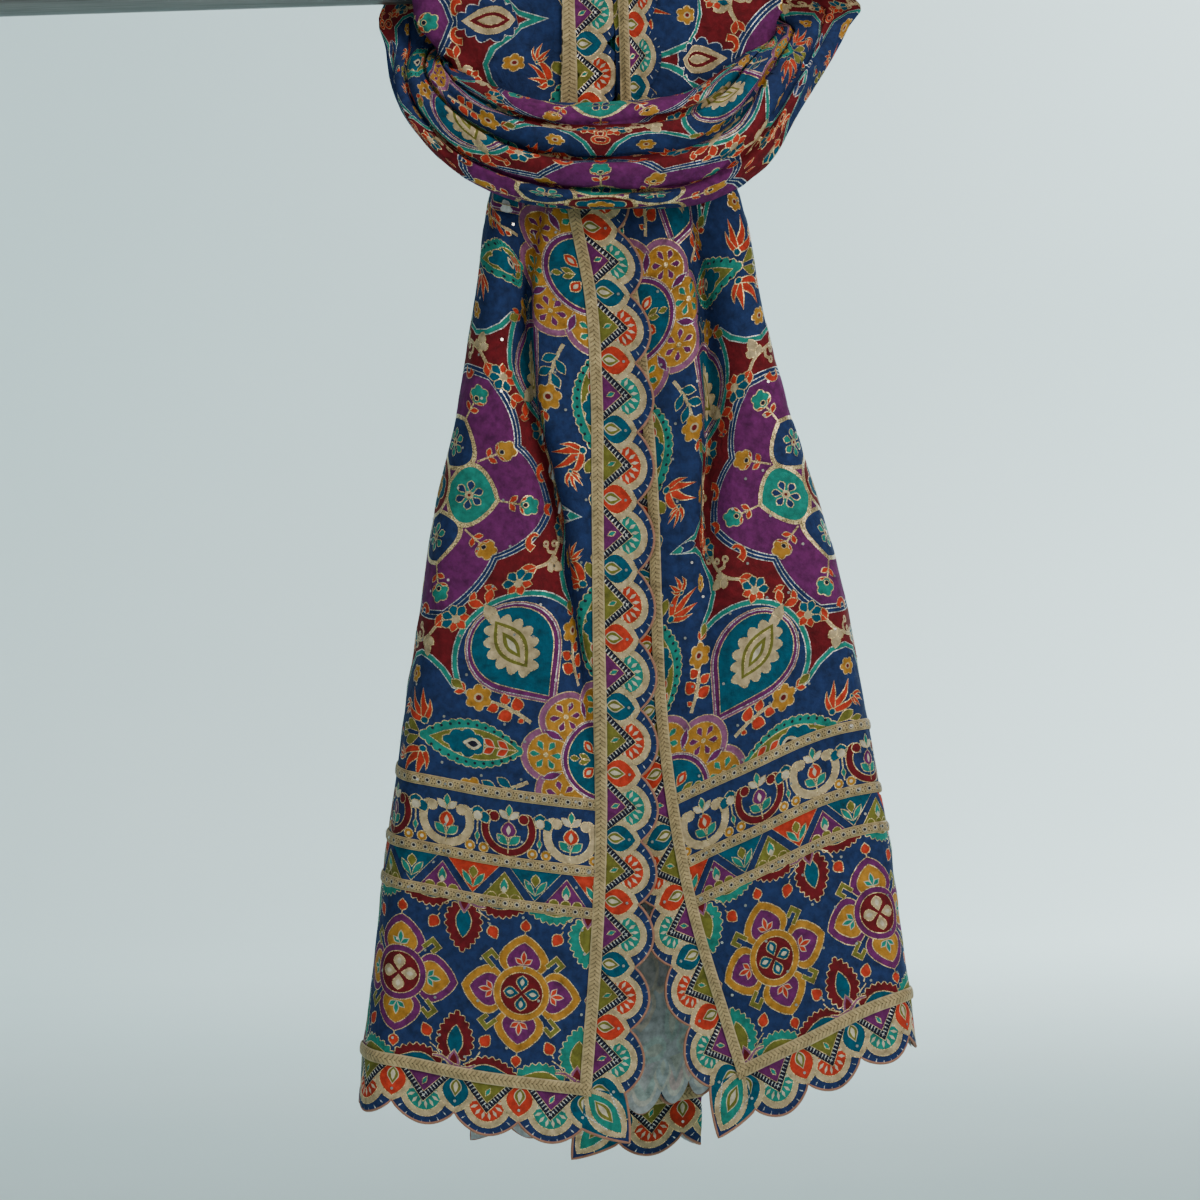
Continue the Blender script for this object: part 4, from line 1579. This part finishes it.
RING_UNIT = 0.006              # metres of the flat print's frame to one point of a ring


def on_stretch(stretch, patch, across):
    """The flat print in the frame of the ring: across turns its u into x."""
    flat, faces, dyes = patch
    t, s = stretch.round_ring(across(flat[:, 0]), flat[:, 1])
    return np.stack([np.where(t > 17.5, t - RING_POINTS, t) * RING_UNIT, s], axis=1), faces, dyes


stretches = {"left": Stretch(LEFT_OVER, -1, 0.7726, 0.6), "right": Stretch(RIGHT_OVER, 1, 0.8113, 2.3)}
over_print, over_braid = {}, {}
for label, stretch in stretches.items():
    end = ends[label]
    top = stretch.zero + stretch.bundle.arc[-1]
    field = tiled(field_cells, CELL_WIDE, CELL_HIGH, ROSETTE, (FIELD_EDGE, 0.3), (stretch.zero, top))
    count = math.ceil((top - stretch.zero) / (2 * SCALLOP_PITCH)) + 1
    first = math.floor((stretch.zero - CORNER_CUSP) / (2 * SCALLOP_PITCH))
    strip = joined(border_run(count, lambda along, depth: np.stack(
        [depth, np.clip(along + 2 * SCALLOP_PITCH * first, stretch.zero, top)], axis=1), scallop_pair))
    gold = tiled(braid_cell, BRAID_UNIT, BRAID_WIDTH, (0, FIELD_EDGE), (stretch.zero, top),
                 (FIELD_EDGE, FIELD_EDGE + BRAID_WIDTH), mirrored=False)
    gold = (gold[0][:, ::-1], gold[1], gold[2])

    def on_rod(name, patch, lift, finish):
        """Piece of cloth on this stretch, lift above its face."""
        return cloth_piece(name, patch, lambda t, s: stretch.bundle.place(t / RING_UNIT, s, lift), finish,
                           stretch.bundle.side)

    def left_across(u):
        """x of thread u on the left stretch: the border folds back under the braid."""
        return np.where(u < FIELD_EDGE, -0.029 + (FIELD_EDGE - u) * 0.92, 0.011 - u)

    if label == "left":
        print_over = [on_stretch(stretch, patch, left_across) for patch in (field, strip)]
    else:
        print_over = [on_stretch(stretch, field, lambda u: u - 0.038)]
    over_print[label] = dress(on_rod(f"{label}_over_rod_print", joined(print_over), 0.0003, printed_cloth),
                              [f"{label}_over_rod"])
    if label == "right":
        folded = on_stretch(stretch, strip, lambda u: 0.012 + (FIELD_EDGE - u) * 0.64)
        edge_strip = dress(on_rod("right_over_rod_border", folded, 0.0022, printed_cloth))
        gold = on_stretch(stretch, gold, lambda u: 0.0062 + (u - FIELD_EDGE) * 0.8)
    else:
        gold = on_stretch(stretch, gold, lambda u: 0.011 - u)
    over_braid[label] = dress(on_rod(f"{label}_over_rod_braid", gold, 0.0026, braid_thread))

# ------------------------------------------------------------ loop of the hitch
# The middle of the stole, gathered into soft rolls: it comes down behind the rod,
# round under it and across the front of both stretches as a band.
BAND_ROLLS = [                 # t from and to, and the cloth's u there at the left, middle and right
    dict(first=-3.4, last=0, low=(0.76, 0.76, 0.79), high=(0.68, 0.68, 0.71)),
    dict(first=0, last=4, low=(0.68, 0.68, 0.71), high=(0.607, 0.607, 0.652)),
    dict(first=4, last=8, low=(0.605, 0.605, 0.65), high=(0.53, 0.535, 0.59)),
    dict(first=8, last=12, low=(0.47, 0.43, 0.43), high=(0.4, 0.365, 0.33)),
    dict(first=12, last=19.6, low=(0.35, 0.338, 0.395), high=(0.2, 0.195, 0.245)),
]


def loop_folds(t, s):
    """Depth of the folds of the rolls: deeper grooves, and ripples that wander along."""
    t = np.where(t > 20.2, t - RING_POINTS, t)
    deep = sum(0.0022 * np.exp(-((t - groove) / 0.42) ** 2) for groove in (4, 8, 12))
    swell = np.sin(np.clip((s - 0.04) / (loop_length - 0.08), 0, 1) * math.pi) ** 0.5
    ripple = (0.0009 * np.sin(3.4 * t + 16 * s) + 0.0007 * np.sin(5.9 * t - 23 * s + 1.2)
              + 0.001 * np.sin(1.9 * t + 34 * s))
    pinch = sum(depth * np.exp(-((s - loop_middle - at) / 0.007) ** 2 - ((t - row) / 1.3) ** 2)
                for at, row, depth in ((-0.026, 9.6, 0.0028), (0.004, 5.2, 0.0018), (0.062, 10.4, 0.0016),
                                       (-0.075, 6.2, 0.0016)))
    return (ripple - deep) * (0.35 + 0.65 * swell) - pinch


loop = Bundle(loop_rings(), 8, loop_folds)
loop_length = loop.arc[-1]
loop_middle = float(np.interp(-0.012, loop.grid[:, 8 * RING_FINE, 0][12 * GRID_FINE:30 * GRID_FINE],
                              loop.arc[12 * GRID_FINE:30 * GRID_FINE]))
cuts = [0.0, loop.arc[LOOP_CUTS[0] * GRID_FINE], loop.arc[LOOP_CUTS[1] * GRID_FINE], loop_length]
for name, start, stop in zip(("left_leg", "front_band", "right_leg"), cuts[:-1], cuts[1:]):
    v_range = (MIDDLE_ROW + start - loop_middle, MIDDLE_ROW + stop - loop_middle)
    flat, faces, dyes = tiled(field_cells, CELL_WIDE, CELL_HIGH, ROSETTE, (0.19, 0.79), v_range)
    s = flat[:, 1] - MIDDLE_ROW + loop_middle
    rolls = []
    for roll in BAND_ROLLS:
        low, high = (np.interp(s, (0.05, loop_middle, loop_length - 0.05), roll[side])
                     for side in ("low", "high"))
        share = np.clip((flat[:, 0] - low) / (high - low), 0, 1)
        t = (roll["first"] + (roll["last"] - roll["first"]) * share) * RING_UNIT
        rolls.append((np.stack([t, s], axis=1), faces, dyes))
    loop_print = cloth_piece(f"{name}_print", joined(rolls),
                             lambda t, s: loop.place(t / RING_UNIT, s, 0.0003), printed_cloth, loop.side)
    dress(loop_print, [name])

# ------------------------------------------------------ floor, lights, camera
# A pale sweep of matt bluish grey stands far out behind the rod and turns into the floor
# under it.  Four lamps light the cloth: key, fill, top, and one on the sweep itself.
FLOOR, WALL, BEND = -1.3, 9.0, 1.5
turn = np.linspace(0, math.pi / 2, 9)
profile = np.concatenate([[(0.01, FLOOR), (3.5, FLOOR)],
                          np.stack([WALL - BEND + BEND * np.sin(turn), FLOOR + BEND - BEND * np.cos(turn)],
                                   axis=1),
                          [(WALL, 4.5)]])
sweep_paint = mottled("pale_sweep", (0.7, 0.87, 0.875), (0.76, 0.925, 0.93), scale=1.2, roughness=0.9)
for name, start, stop, rows in (("pale_sweep", 45, 135, len(profile)), ("pale_floor", 135, 405, 3)):
    way = np.radians(np.linspace(start, stop, 49))
    points = np.stack([profile[:rows, :1] * np.cos(way), profile[:rows, :1] * np.sin(way),
                       np.repeat(profile[:rows, 1:], len(way), axis=1)], axis=2)
    grid_piece(name, points, sweep_paint, "wrong")

studio = bpy.data.worlds.new("studio")
studio.use_nodes = True
studio.node_tree.nodes["Background"].inputs["Color"].default_value = (0.78, 0.9, 0.91, 1)
studio.node_tree.nodes["Background"].inputs["Strength"].default_value = 0.28
bpy.context.scene.world = studio

for name, place, aim, size, power, colour in (
        ("key", (2.1, -2.5, 0.7), (0, 0, -0.5), 1.5, 55, (1.0, 0.94, 0.87)),
        ("fill", (-2.4, -2.3, 0.0), (0, 0, -0.5), 2.4, 7, (1.0, 0.98, 0.96)),
        ("top", (0.4, -0.7, 2.0), (0, 0, -0.5), 1.8, 22, (1.0, 1.0, 1.0)),
        ("behind", (3.9, 6.8, 2.6), (1.6, 9.0, -0.9), 1.8, 450, (0.97, 0.99, 1.0))):
    lamp = bpy.data.lights.new(name, "AREA")
    lamp.size, lamp.energy, lamp.color = size, power, colour
    holder = bpy.data.objects.new(name, lamp)
    bpy.context.scene.collection.objects.link(holder)
    holder.location = place
    towards = mathutils.Vector(aim) - mathutils.Vector(place)
    holder.rotation_euler = towards.to_track_quat("-Z", "Y").to_euler()

# The camera looks level along +y, rolled by a small angle, at a point that lies
# ACROSS and DOWN from the origin, in pixels of a view of VIEW_SIDE pixels.
PIXEL, ROLL, DISTANCE = 0.0008, math.radians(1.8), 4.0
ACROSS, DOWN, VIEW_SIDE = -10, 618, 1200
right_way = np.array([math.cos(ROLL), 0.0, -math.sin(ROLL)])
down_way = np.array([-math.sin(ROLL), 0.0, -math.cos(ROLL)])
aim = PIXEL * (ACROSS * right_way + DOWN * down_way)
view = bpy.data.cameras.new("camera")
view.angle = 2 * math.atan(PIXEL * VIEW_SIDE / 2 / DISTANCE)
camera = bpy.data.objects.new("camera", view)
bpy.context.scene.collection.objects.link(camera)
camera.location = (aim[0], -DISTANCE, aim[2])
camera.rotation_euler = (math.pi / 2, ROLL, 0)
bpy.context.scene.camera = camera
